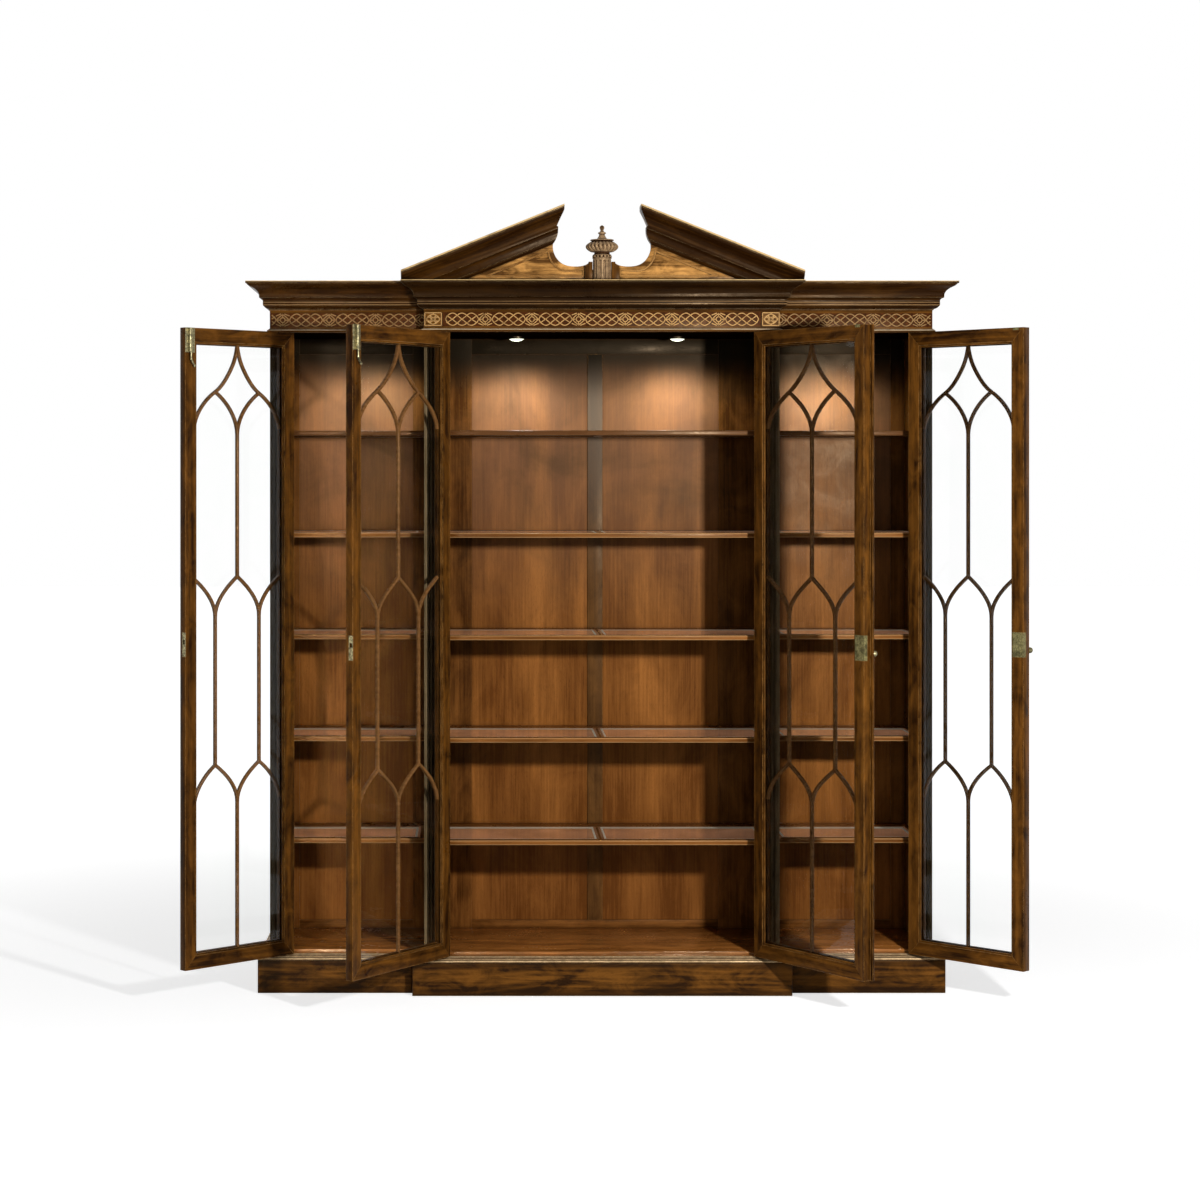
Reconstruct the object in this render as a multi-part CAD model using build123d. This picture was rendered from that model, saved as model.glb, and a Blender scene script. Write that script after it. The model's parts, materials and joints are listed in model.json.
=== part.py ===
from build123d import *
import math
import os

os.makedirs("parts", exist_ok=True)

# Breakfront bookcase. +X is to the right, -Y is the front, +Z is up, in millimetres.
# The origin is on the floor at the centre of the wings' carcass.

# ---- carcass ----
depth = 400.0  # wing boards, front edge to back
step = 47.0  # the centre bay stands this far forward of the wings
wing_half = 1024.0  # outer face of the end boards
centre_half = 547.0  # outer face of the partitions
board = 20.0
pilaster_w = 57.5
reeds = 4
reed_margin = 9.0
reed_gap = 1.5
door_t = 25.0  # doors, pilasters and frieze boards share one thickness
plinth_h = 103.0
plinth_out = 35.0  # plinth face ahead of the pilasters
plinth_t = 22.0
plinth_round = 6.0
bearer_w = 60.0
skirt_h = 15.0  # base moulding on top of the plinth
floor_t = 23.0
opening_h = 1933.0  # top of the plinth to the underside of the frieze
ceiling_up = 2.0  # ceilings above the underside of the frieze
ceiling_t = 20.0
frieze_h = 69.0
top_t = 18.0
bead_h = 11.0
bead_out = 8.0

# ---- back ----
back_t = 20.0
panel_t = 8.0
panel_in = 6.0  # panel edge let into its grooves
back_stile_w = 127.0
back_mid_w = 48.0
back_top_w = 50.0
back_low_w = 26.0
wing_stile_w = 45.0

# ---- shelves ----
shelf_count = 5
shelf_clear = 341.0  # bottom board to the top of the lowest shelf
shelf_pitch = 316.5
shelf_t = 15.0
shelf_set_back = 15.0
shelf_front_w = 40.0
shelf_back_w = 100.0
shelf_end_w = 30.0
shelf_mid_w = 24.0
shelf_housing = 6.0
shelf_nose = 4.0
pane_t = 6.0
pane_lap = 8.0

# ---- cornice and pediment ----
cornice_h = 86.0
cornice_out = 70.0
cornice_in = 15.0
cornice_lip = 7.0  # flat edge at the top of the crown
dust_t = 12.0
dust_down = 4.0
rake_angle = 22.0
rake_h = 97.0  # square to the slope
rake_lip = 8.0
rake_foot_in = 1.0  # foot of the slope from the crown's corner
rake_tip_x = 117.0
rake_tip_up = 231.0  # this height and the next ones are above the cornice
scoop_side_x = 150.0
scoop_side_up = 115.0
scoop_low_x = 80.0
scoop_low_up = 45.0
shoulder_x = 33.0
shoulder_up = 63.0
cap_t = 12.0
tympanum_t = 22.0
tympanum_foot_in = 30.0
cheek_x = 53.0  # outer face of the dark cheeks beside the pedestal
cheek_w = 12.0
cheek_out = 10.0
panel_bead_w = 5.0
panel_bead_t = 3.0
panel_bead_gap = 14.0
brace_t = 20.0
brace_x = 330.0
brace_half_w = 60.0

# ---- finial ----
shaft_r = 28.0
shaft_h = 68.0
shaft_forward = 8.0  # axis ahead of the tympanum's face
flutes = 12
flute_r = 5.0
flute_out = 1.5
flute_end = 9.0
urn_h = 103.0
urn_tip_h = 2.0
dowel_r = 8.0
dowel_depth = 20.0
dowel_play = 0.05
dowel_spare = 2.0  # depth left under the dowel

# ---- frets ----
fret_up = 38.0  # middle of the band above the underside of the frieze
fret_half_h = 21.5
fret_t = 4.0
fret_line = 3.0
fret_rail = 2.0
fret_end = 6.0
fret_centre_count = 7
fret_wing_count = 3
block_w = 57.0
block_t = 6.0
block_play = 2.0
block_relief = 2.0

# ---- doors ----
door_foot_gap = 2.0
door_head_gap = 2.0
door_free_gap = 3.0  # free edge of a wing door to the centre bay
door_meet_gap = 2.0  # between the two centre doors
pin_out = 3.5  # hinge axis ahead of the door's front face
hinge_gap = 1.0
stile_w = 47.0
rail_w = 50.0
rebate = 9.0
front_t = 12.0  # frame thickness in front of the glass
glass_t = 4.0
glass_play = 0.5
glass_bead = 6.0
bar_w = 11.5
bar_in = 1.0
twin_share = 0.52  # the twin bars' place between the middle and the stiles
arch_1 = 189.0  # spring of each tier of arches below the door's head
arch_2 = 746.0
arch_3 = 1312.0
meet_1 = 127.0  # height of each tier's arches
meet_2 = 120.0
meet_3 = 116.0
strip_w = 20.0
strip_t = 8.0
strip_lap = 10.0
strip_clear = 1.0
strip_round = 3.0
open_wing_left = 137.0
open_centre_left = 125.0
open_centre_right = 124.5
open_wing_right = 134.5

# ---- hinges ----
leaf_h = 80.0
leaf_t = 1.5
leaf_w = 18.0
leaf_clear = 0.3
knuckle_r = 3.2
knuckle_h = 26.0
knuckle_play = 0.3
pin_r = 1.5
pin_play = 0.05
pin_head_r = 2.4
hinge_inset = 150.0
hinge_mid_down = 40.0

# ---- top bolts on the left doors of each pair ----
plate_w = 33.0
plate_h = 74.0
plate_t = 3.0
ridge_w = 14.0
ridge_t = 9.0
ridge_in = 2.0
rod_r = 3.0
rod_play = 0.05
rod_travel = 12.0
rod_below = 22.0  # rod below its plate
tail_w = 5.0
tail_t = 4.0
keeper_r = 4.0
keeper_spare = 5.0  # hole above the rod when it is up
bolt_keeper_w = 36.0
bolt_keeper_d = 14.0

# ---- locks on the right doors ----
lock_up = 970.0  # above the door's foot
lock_h = 74.0
lock_plate_t = 1.5
lock_wrap = 14.0
case_w = 30.5
case_t = 12.0
case_h = 60.0
latch_w = 6.0
latch_h = 10.0
latch_l = 22.0
latch_up = 8.0  # latch centre above the lock's centre
latch_play = 0.15
latch_travel = 8.0
latch_in = 0.5
slot_play = 1.5
strike_d = 16.0
strike_h = 60.0
spindle_r = 3.0
spindle_play = 0.05
spindle_down = 18.0
spindle_in = 12.0  # spindle from the free edge
knob_r = 9.0
knob_reach = 26.0
rose_r = 9.0
rose_t = 2.5
catch_in = 16.0
catch_w = 20.0
catch_h = 8.0

# ---- lights ----
puck_r = 27.0
puck_h = 8.0
puck_round = 2.5
lens_r = 23.0
lens_h = 3.0
lens_play = 0.2
lens_drop = 7.0  # the lens's dome below the ring's underside
puck_y = 53.0
puck_centre_in = 270.0  # from the partitions' inner faces
puck_wing_in = 173.0  # from the partitions' outer faces

# ---- what follows from the sizes above ----
y_wing = -depth / 2
y_back = depth / 2
y_centre = y_wing - step
face_wing = y_wing - door_t
face_centre = y_centre - door_t
y_panel = y_back - back_t
wing_in = wing_half - board
centre_in = centre_half - board
jamb_wing = wing_half - pilaster_w
jamb_centre = centre_half - pilaster_w
plinth_y = face_wing - plinth_out
plinth_centre_y = face_centre - plinth_out
plinth_half = wing_half + plinth_out
plinth_centre_half = centre_half + plinth_out
floor_top = plinth_h + floor_t
head_z = plinth_h + opening_h
ceiling_under = head_z + ceiling_up
frieze_top = head_z + frieze_h
cornice_top = frieze_top + cornice_h
dust_z = cornice_top - dust_down
shelf_tops = [floor_top + shelf_clear + i * shelf_pitch for i in range(shelf_count)]
shelf_y_centre = y_centre + shelf_set_back
shelf_y_wing = y_wing + shelf_set_back
fret_z = head_z + fret_up
fret_low = fret_z - fret_half_h
fret_high = fret_z + fret_half_h
slope = math.tan(math.radians(rake_angle))
rake_run = math.cos(math.radians(rake_angle))
rake_foot_x = centre_half + cornice_out - rake_foot_in
rake_tip_z = cornice_top + rake_tip_up
scoop_side_z = cornice_top + scoop_side_up
scoop_low_z = cornice_top + scoop_low_up
shoulder_z = cornice_top + shoulder_up
shaft_top = cornice_top + shaft_h
finial_y = face_centre - shaft_forward
door_bottom = plinth_h + skirt_h + door_foot_gap
door_top = head_z - door_head_gap
wing_axis_x = jamb_wing - hinge_gap / 2
centre_axis_x = jamb_centre - hinge_gap / 2
wing_axis_y = face_wing - pin_out
centre_axis_y = face_centre - pin_out
wing_edge = wing_axis_x - centre_half - door_free_gap  # free edge, from the hinge axis
centre_edge = centre_axis_x - door_meet_gap / 2
hinge_heights = [
    door_bottom + hinge_inset,
    (door_bottom + door_top) / 2 - hinge_mid_down,
    door_top - hinge_inset,
]
lock_z = door_bottom + lock_up
latch_z = lock_z + latch_up
latch_y = pin_out + door_t - lock_plate_t - case_t / 2  # behind the hinge axis, door shut
mortise_y = face_wing - pin_out + latch_y
rod_y = pin_out + door_t + plate_t + ridge_t / 2  # behind the hinge axis, door shut
rod_low = door_top - plate_h - rod_below
rod_high = door_top - 1.0
slot_y = latch_w / 2 + slot_play
slot_z = latch_h / 2 + slot_play


def block(x0, x1, y0, y1, z0, z1):
    centre = Pos((x0 + x1) / 2, (y0 + y1) / 2, (z0 + z1) / 2)
    return centre * Box(abs(x1 - x0), abs(y1 - y0), abs(z1 - z0))


def both(shapes):
    """The shapes and their mirror images across the centre plane."""
    return list(shapes) + [mirror(s, about=Plane.YZ) for s in shapes]


def save(name, shapes):
    solids = [s for shape in shapes for s in shape.solids()]
    export_step(Compound(children=solids), f"parts/{name}.step")


def upright(sketch, y0, y1):
    """A sketch drawn in x and z, given thickness from y0 to y1."""
    return Pos(0, y1, 0) * Rot(90, 0, 0) * extrude(sketch, amount=y1 - y0)


def outline(points):
    return make_face(Polyline(*points, close=True))


def section(points):
    """A closed profile whose straight runs are tuples and whose curves are lists of points."""
    edges = []
    at = points[0]
    for item in points[1:]:
        if isinstance(item, list):
            edges.append(Spline(at, *item))
            at = item[-1]
        else:
            edges.append(Line(at, item))
            at = item
    edges.append(Line(at, points[0]))
    return make_face(edges)


def runs(profile, z0, path):
    """Mitred lengths of a moulding that stands outward, to the right of a path in plan."""
    made = []
    ways = []
    for (ax, ay), (bx, by) in zip(path, path[1:]):
        long = math.hypot(bx - ax, by - ay)
        ways.append(Vector((bx - ax) / long, (by - ay) / long, 0))
    for i, way in enumerate(ways):
        a = Vector(*path[i], z0)
        b = Vector(*path[i + 1], z0)
        out = Vector(way.Y, -way.X, 0)
        reach = 3 * cornice_out
        start = Plane(a - way * reach, x_dir=out, z_dir=-way)
        body = extrude(start * profile, amount=-((b - a).length + 2 * reach))
        first = way if i == 0 else way + ways[i - 1]
        last = way if i == len(ways) - 1 else way + ways[i + 1]
        body = split(body, bisect_by=Plane(a, z_dir=first), keep=Keep.TOP)
        body = split(body, bisect_by=Plane(b, z_dir=last), keep=Keep.BOTTOM)
        made.append(body)
    return made


def around(grow=0.0):
    """The plan line round the sides and the stepped front."""
    w = wing_half + grow
    c = centre_half + grow
    yw = face_wing - grow
    yc = face_centre - grow
    left = [(-w, y_back), (-w, yw), (-c, yw), (-c, yc)]
    return left + [(-x, y) for x, y in reversed(left)]


# ---- plinth ----


def plinth_board(x0, x1, y0, y1):
    body = block(x0, x1, y0, y1, 0, plinth_h)
    front = body.faces().sort_by(Axis.Y)[0]
    return fillet(front.edges(), plinth_round)


plinth_fronts = [
    plinth_board(-plinth_half, -plinth_centre_half, plinth_y, plinth_y + plinth_t),
    plinth_board(plinth_centre_half, plinth_half, plinth_y, plinth_y + plinth_t),
    plinth_board(
        -plinth_centre_half,
        plinth_centre_half,
        plinth_centre_y,
        plinth_centre_y + plinth_t,
    ),
]
plinth_sides = both(
    [
        block(
            -plinth_half,
            -plinth_half + plinth_t,
            plinth_y + plinth_t,
            y_back,
            0,
            plinth_h,
        ),
        block(
            -plinth_centre_half,
            -plinth_centre_half + plinth_t,
            plinth_centre_y + plinth_t,
            plinth_y + plinth_t,
            0,
            plinth_h,
        ),
    ]
)
plinth_back = block(
    -plinth_half + plinth_t,
    plinth_half - plinth_t,
    y_back - plinth_t,
    y_back,
    0,
    plinth_h,
)
save("plinth_boards", plinth_fronts + plinth_sides + [plinth_back])

bearer_back = y_back - plinth_t
bearers = [
    block(
        -bearer_w / 2,
        bearer_w / 2,
        plinth_centre_y + plinth_t,
        bearer_back,
        0,
        plinth_h,
    )
]
bearers += both(
    [
        block(
            -centre_half - bearer_w / 2 + board / 2,
            -centre_half + bearer_w / 2 + board / 2,
            plinth_y + plinth_t,
            bearer_back,
            0,
            plinth_h,
        ),
        block(
            -plinth_half + plinth_t,
            -wing_in + board,
            plinth_y + plinth_t,
            bearer_back,
            0,
            plinth_h,
        ),
    ]
)
save("plinth_bearers", bearers)

skirt_profile = section(
    [
        (0, 0),
        (plinth_out, 0),
        (plinth_out, 1.5),
        [(plinth_out - 1, 4.6), (plinth_out - 4, 6.2), (plinth_out - 6.6, 4.8)],
        (plinth_out - 7.4, 4.8),
        [(plinth_out - 8, 7.6), (plinth_out - 11, 9.4), (plinth_out - 14, 8.2)],
        (plinth_out - 14.8, 8.2),
        [(plinth_out - 15.6, 10.8), (plinth_out - 18.6, 12.4), (plinth_out - 21.6, 11.4)],
        (plinth_out - 22.4, 11.4),
        [(plinth_out - 23.4, 13.8), (plinth_out - 27, skirt_h)],
        (0, skirt_h),
    ]
)
save("base_moulding", runs(skirt_profile, plinth_h, around()))

# ---- carcass boards ----


def housings(face_x, inward, y0):
    """Stopped housings for the shelf ends in a board's face."""
    x1 = face_x + inward * shelf_housing
    return [
        block(min(face_x, x1), max(face_x, x1), y0, y_panel, z - shelf_t, z)
        for z in shelf_tops
    ]


end_board = block(-wing_half, -wing_in, y_wing, y_back, plinth_h, frieze_top)
end_board -= housings(-wing_in, -1, shelf_y_wing)
save("side_boards", both([end_board]))

partition = block(-centre_half, -centre_in, y_centre, y_back, plinth_h, frieze_top)
partition -= housings(-centre_half, 1, shelf_y_wing)
partition -= housings(-centre_in, -1, shelf_y_centre)
partition_right = mirror(partition, about=Plane.YZ)
strike = block(
    centre_half - leaf_t,
    centre_half,
    mortise_y - strike_d / 2,
    mortise_y + strike_d / 2,
    latch_z - strike_h / 2,
    latch_z + strike_h / 2,
)


def slot(x0, x1, y):
    return block(x0, x1, y - slot_y, y + slot_y, latch_z - slot_z, latch_z + slot_z)


latch_pocket = slot(centre_half - latch_travel - leaf_t, centre_half, mortise_y)
partition_right -= [strike, latch_pocket]
save("partitions", [partition, partition_right])

floor_boards = [
    block(-centre_in, centre_in, y_centre, y_back, plinth_h, floor_top),
    block(
        -jamb_centre,
        jamb_centre,
        face_centre,
        y_centre,
        plinth_h,
        plinth_h + skirt_h,
    ),
]
floor_boards += both(
    [
        block(-wing_in, -centre_half, y_wing, y_back, plinth_h, floor_top),
        block(
            -jamb_wing,
            -centre_half,
            face_wing,
            y_wing,
            plinth_h,
            plinth_h + skirt_h,
        ),
    ]
)
save("floor_boards", floor_boards)

keeper_spots = [
    (-wing_axis_x + wing_edge - plate_w / 2, wing_axis_y + rod_y),
    (-centre_axis_x + centre_edge - plate_w / 2, centre_axis_y + rod_y),
]
ceilings = [
    block(-wing_in, -centre_half, y_wing, y_back, ceiling_under, ceiling_under + ceiling_t),
    block(-centre_in, centre_in, y_centre, y_back, ceiling_under, ceiling_under + ceiling_t),
    block(centre_half, wing_in, y_wing, y_back, ceiling_under, ceiling_under + ceiling_t),
]
keeper_top = rod_high + rod_travel + keeper_spare
keeper_plates = []
for i, (x, y) in enumerate(keeper_spots):
    seat = block(
        x - bolt_keeper_w / 2,
        x + bolt_keeper_w / 2,
        y - bolt_keeper_d / 2,
        y + bolt_keeper_d / 2,
        ceiling_under,
        ceiling_under + leaf_t,
    )
    hole_h = keeper_top - ceiling_under
    hole = Pos(x, y, ceiling_under + hole_h / 2) * Cylinder(keeper_r, hole_h)
    ceilings[i] -= [seat, hole]
    keeper_plates.append(seat - hole)
save("ceiling_boards", ceilings)
keeper_plates.append(strike - latch_pocket)
save("keepers", keeper_plates)

# ---- pilasters ----


def pilaster(x0, y0):
    """A reeded board, its jamb face at x0 + pilaster_w, let in for the hinge leaves."""
    pitch = (pilaster_w - 2 * reed_margin) / reeds
    r = pitch / 2 - reed_gap / 2
    flat = outline(
        [
            (x0, y0),
            (x0 + pilaster_w, y0),
            (x0 + pilaster_w, y0 + door_t),
            (x0, y0 + door_t),
        ]
    )
    field = Pos(x0 + pilaster_w / 2, y0) * Rectangle(pitch * reeds, 2 * r)
    flat -= field
    for i in range(reeds):
        flat += Pos(x0 + reed_margin + (i + 0.5) * pitch, y0 + r) * Circle(r)
    body = Pos(0, 0, plinth_h) * extrude(flat, amount=head_z - plinth_h)
    for z in hinge_heights:
        body -= block(
            x0 + pilaster_w - leaf_t,
            x0 + pilaster_w,
            y0,
            y0 + leaf_w,
            z - leaf_h / 2,
            z + leaf_h / 2,
        )
    return body


save("pilasters", both([pilaster(-wing_half, face_wing), pilaster(-centre_half, face_centre)]))

# ---- back ----


def framed_back(x0, x1, stile, mids):
    """Stiles, rails and panels that close one bay between floor and ceiling."""
    z0 = floor_top
    z1 = ceiling_under
    low = z0 + back_low_w
    high = z1 - back_top_w
    half = back_mid_w / 2
    edges = [x0 + stile] + [e for m in mids for e in (m - half, m + half)]
    edges.append(x1 - stile)
    y_groove = y_panel + (back_t - panel_t) / 2
    lights = list(zip(edges[0::2], edges[1::2]))
    panels = [
        block(
            a - panel_in,
            b + panel_in,
            y_groove,
            y_groove + panel_t,
            low - panel_in,
            high + panel_in,
        )
        for a, b in lights
    ]
    members = [
        block(x0, x0 + stile, y_panel, y_back, z0, z1),
        block(x1 - stile, x1, y_panel, y_back, z0, z1),
    ]
    members += [block(m - half, m + half, y_panel, y_back, low, high) for m in mids]
    members += [
        block(x0 + stile, x1 - stile, y_panel, y_back, z0, low),
        block(x0 + stile, x1 - stile, y_panel, y_back, high, z1),
    ]
    return [m - panels for m in members], panels


wing_back, wing_panels = framed_back(-wing_in, -centre_half, wing_stile_w, [])
centre_back, centre_panels = framed_back(-centre_in, centre_in, back_stile_w, [0.0])
save("back_frame", centre_back + both(wing_back))
save("back_panels", centre_panels + both(wing_panels))

# ---- shelves ----


def shelf(x0, x1, y0, top, mids):
    """Rails and panes of one shelf between two housed ends."""
    y1 = y_panel
    under = top - shelf_t
    half = shelf_mid_w / 2
    edges = [x0 + shelf_end_w] + [e for m in mids for e in (m - half, m + half)]
    edges.append(x1 - shelf_end_w)
    panes = [
        block(
            a - pane_lap,
            b + pane_lap,
            y0 + shelf_front_w - pane_lap,
            y1 - shelf_back_w + pane_lap,
            top - pane_t,
            top,
        )
        for a, b in zip(edges[0::2], edges[1::2])
    ]
    nose = block(x0, x1, y0, y0 + shelf_front_w, under, top)
    nose = fillet(nose.edges().filter_by(Axis.X).group_by(Axis.Y)[0], shelf_nose)
    rails = [nose, block(x0, x1, y1 - shelf_back_w, y1, under, top)]
    inner = (y0 + shelf_front_w, y1 - shelf_back_w, under, top)
    rails.append(block(x0, x0 + shelf_end_w, *inner))
    rails.append(block(x1 - shelf_end_w, x1, *inner))
    rails += [block(m - half, m + half, *inner) for m in mids]
    return [r - panes for r in rails], panes


shelves_left = []
shelves_centre = []
shelf_panes = []
for top in shelf_tops:
    rails, panes = shelf(
        -wing_in - shelf_housing, -centre_half + shelf_housing, shelf_y_wing, top, []
    )
    shelves_left += rails
    shelf_panes += both(panes)
    reach = centre_in + shelf_housing
    rails, panes = shelf(-reach, reach, shelf_y_centre, top, [0.0])
    shelves_centre += rails
    shelf_panes += panes
save("shelves_left", shelves_left)
save("shelves_right", [mirror(s, about=Plane.YZ) for s in shelves_left])
save("shelves_centre", shelves_centre)
save("shelf_glass", shelf_panes)

# ---- frieze ----

frieze = [block(-centre_half, centre_half, face_centre, y_centre, head_z, frieze_top)]
frieze += both([block(-wing_half, -centre_half, face_wing, y_wing, head_z, frieze_top)])
top_under = frieze_top - top_t
frieze.append(block(-centre_in, centre_in, y_centre, y_back, top_under, frieze_top))
frieze += both([block(-wing_in, -centre_half, y_wing, y_back, top_under, frieze_top)])
save("frieze_boards", frieze)

bead_profile = section(
    [
        (0, 0),
        (bead_out - 3, 0),
        [(bead_out - 0.5, 2), (bead_out, 4.5), (bead_out - 1.5, 7.5)],
        (3, bead_h - 2),
        (3, bead_h),
        (0, bead_h),
    ]
)
save("frieze_bead", runs(bead_profile, head_z, around()))



def strand(points, start=None, end=None):
    line = Spline(*points, tangents=(start, end)) if start else Spline(*points)
    return trace(line, line_width=fret_line)


def fret_unit(width):
    """One repeat of the interlaced band: two crossing loops, with half a knot at each end."""
    s = width / 2
    a = fret_half_h - fret_rail
    made = Sketch()
    for k in (1, -1):
        made += strand(
            [
                (-0.70 * s, 0),
                (-0.39 * s, k * a),
                (0, 0),
                (0.39 * s, -k * a),
                (0.70 * s, 0),
            ],
            (0, k),
            (0, k),
        )
        rising = [(-0.66 * s, -k * 0.5 * a), (-0.41 * s, 0), (0, k * a)]
        falling = [(0, k * a), (0.41 * s, 0), (0.66 * s, -k * 0.5 * a)]
        made += strand(rising, (1, 0.2 * k), (1, k))
        made += strand(falling, (1, -k), (1, -0.2 * k))
        made += Pos(0, k * (fret_half_h - fret_rail / 2)) * Rectangle(width, fret_rail)
    for k in (1, -1):
        ring = Circle(0.145 * s) - Circle(0.145 * s - fret_line * 0.8)
        made += Pos(k * s, 0) * ring
        for j in (1, -1):
            arm = Line((k * s, j * (a - 1)), (k * 0.69 * s, 0))
            made += trace(arm, line_width=fret_line)
            stub = Line((k * s, j * 0.12 * s), (k * s, j * (a + 1)))
            made += trace(stub, line_width=fret_line)
    frame = Rectangle(width, 2 * fret_half_h)
    return made & frame


def fret_band(x0, x1, count, y_face):
    pitch = (x1 - x0) / count
    unit = upright(fret_unit(pitch), -fret_t, 0)
    return [Pos(x0 + (i + 0.5) * pitch, y_face, fret_z) * unit for i in range(count)]


fret_reach = centre_half - block_w
frets = fret_band(-fret_reach, fret_reach, fret_centre_count, face_centre)
frets += both(fret_band(-wing_half + fret_end, -centre_half - fret_end, fret_wing_count, face_wing))
save("fretwork", frets)


def corner_block(x):
    """A small block carved with a ringed diamond."""
    w = block_w - block_play
    field = face_centre - block_t + block_relief
    base = block(x - w / 2, x + w / 2, field, face_centre, fret_low, fret_high)
    ring = Circle(7.0) - Circle(4.0)
    lozenge = outline([(-18, 0), (0, 17), (18, 0), (0, -17)])
    lozenge -= outline([(-14, 0), (0, 13), (14, 0), (0, -13)])
    edge = Rectangle(w, 2 * fret_half_h) - Rectangle(w - 5, 2 * fret_half_h - 5)
    carving = Sketch() + ring + lozenge + edge
    relief = Pos(x, 0, fret_z) * upright(carving, face_centre - block_t, field)
    return base + relief


save("frieze_blocks", both([corner_block(-centre_half + block_w / 2)]))

# ---- cornice ----

crown = cornice_h - cornice_lip
cornice_profile = section(
    [
        (-cornice_in, 0),
        (3, 0),
        (3, 3),
        [(10, 5), (18, 12)],
        (20, 14),
        (20, 24),
        [(21, 31), (26, 35)],
        (31, 37),
        (31, 43),
        [(35, crown - 24), (48, crown - 13), (cornice_out - 10, crown - 7), (cornice_out - 4, crown)],
        (cornice_out, crown),
        (cornice_out, cornice_h),
        (-cornice_in, cornice_h),
    ]
)
save("cornice_moulding", runs(cornice_profile, frieze_top, around()))

cover_y = y_back - top_t
inside = wing_half - cornice_in
centre_inside = centre_half - cornice_in
covers = [
    block(
        -centre_inside,
        centre_inside,
        face_centre + cornice_in,
        cover_y,
        dust_z - dust_t,
        dust_z,
    ),
    block(-inside, inside, cover_y, y_back, frieze_top, dust_z),
]
covers += both(
    [
        block(
            -inside,
            -centre_inside,
            face_wing + cornice_in,
            cover_y,
            dust_z - dust_t,
            dust_z,
        )
    ]
)
save("cornice_covers", covers)

# ---- pediment ----


def rake_line(x, drop=0.0):
    """Height of the left slope at x, with drop measured square to the slope."""
    return rake_tip_z + (x + rake_tip_x) * slope - drop / rake_run


rake_crown = rake_h - rake_lip
rake_profile = section(
    [
        (0, 0),
        (4, 0),
        [(10, 3), (14, 9)],
        (18, 11),
        (18, 22),
        [(20, 30), (26, 36)],
        (31, 38),
        (31, 45),
        [(35, rake_crown - 29), (50, rake_crown - 15), (cornice_out - 9, rake_crown - 8)]
        + [(cornice_out - 5, rake_crown)],
        (cornice_out, rake_crown),
        (cornice_out, rake_h),
        (-tympanum_t, rake_h),
        (-tympanum_t, rake_h - cap_t),
        (0, rake_h - cap_t),
    ]
)

mouth = section(
    [
        (0, rake_tip_z + 80),
        (-rake_tip_x, rake_tip_z + 80),
        (-rake_tip_x, rake_tip_z - 16),
        [(-rake_tip_x - 9, rake_tip_z - 34), (-rake_tip_x - 20, rake_tip_z - 58)],
        (-rake_tip_x - 22, rake_tip_z - 64),
        (-rake_tip_x - 18, rake_tip_z - 66),
        (-rake_tip_x - 18, rake_tip_z - 80),
        [(-rake_tip_x - 23, rake_tip_z - 100), (-scoop_side_x, scoop_side_z)],
        [
            (-scoop_side_x + 5, scoop_side_z - 34),
            (-scoop_side_x + 30, scoop_low_z + 8),
            (-scoop_low_x, scoop_low_z),
            (-shoulder_x - 20, scoop_low_z + 4),
            (-shoulder_x, shoulder_z),
        ],
        (0, shoulder_z),
    ]
)
mouth_cut = upright(mouth, face_centre - 2 * cornice_out, face_centre + 2 * cornice_out)

along = Vector(rake_run, 0, rake_run * slope)
spare = cornice_out
foot = Vector(-rake_foot_x - spare, face_centre, rake_line(-rake_foot_x - spare, rake_h))
rake_plane = Plane(foot, x_dir=(0, -1, 0), z_dir=-along)
rake = extrude(rake_plane * rake_profile, amount=-(rake_foot_x + 2 * spare) / rake_run)
rake &= block(
    -rake_foot_x,
    -rake_tip_x,
    face_centre - 2 * cornice_out,
    face_centre + 2 * cornice_out,
    cornice_top,
    rake_tip_z + spare,
)
rake -= mouth_cut
save("pediment_rakes", both([rake]))

tympanum_side = -rake_foot_x + tympanum_foot_in
cheek_step = -cheek_x + cheek_w
field = outline(
    [
        (tympanum_side, cornice_top),
        (cheek_step, cornice_top),
        (cheek_step, rake_line(cheek_step, cap_t)),
        (tympanum_side, rake_line(tympanum_side, cap_t)),
    ]
)
tympanum = upright(field, face_centre, face_centre + tympanum_t) - mouth_cut
save("tympanum", both([tympanum]))

bead_gap = panel_bead_gap
bead_foot_z = cornice_top + bead_gap + 2
bead_foot_x = (bead_foot_z + (rake_h + bead_gap) / rake_run - rake_tip_z) / slope - rake_tip_x
bead_tip_x = -scoop_side_x - bead_gap
bead_line = [
    (bead_foot_x, bead_foot_z),
    (bead_tip_x, rake_line(bead_tip_x, rake_h + bead_gap)),
    [
        (bead_tip_x + 4, scoop_side_z - 44),
        (bead_tip_x + 34, scoop_low_z - 8),
        (-scoop_low_x, scoop_low_z - bead_gap + 2),
        (-cheek_x - 3, scoop_low_z - bead_gap + 5),
    ],
    (-cheek_x - 3, bead_foot_z),
]
bead_ring = Sketch()
for edge in section(bead_line).edges():
    bead_ring += trace(edge, line_width=panel_bead_w)
    bead_ring += Pos(edge.start_point()) * Circle(panel_bead_w / 2)
save("tympanum_bead", both([upright(bead_ring, face_centre - panel_bead_t, face_centre)]))

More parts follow.
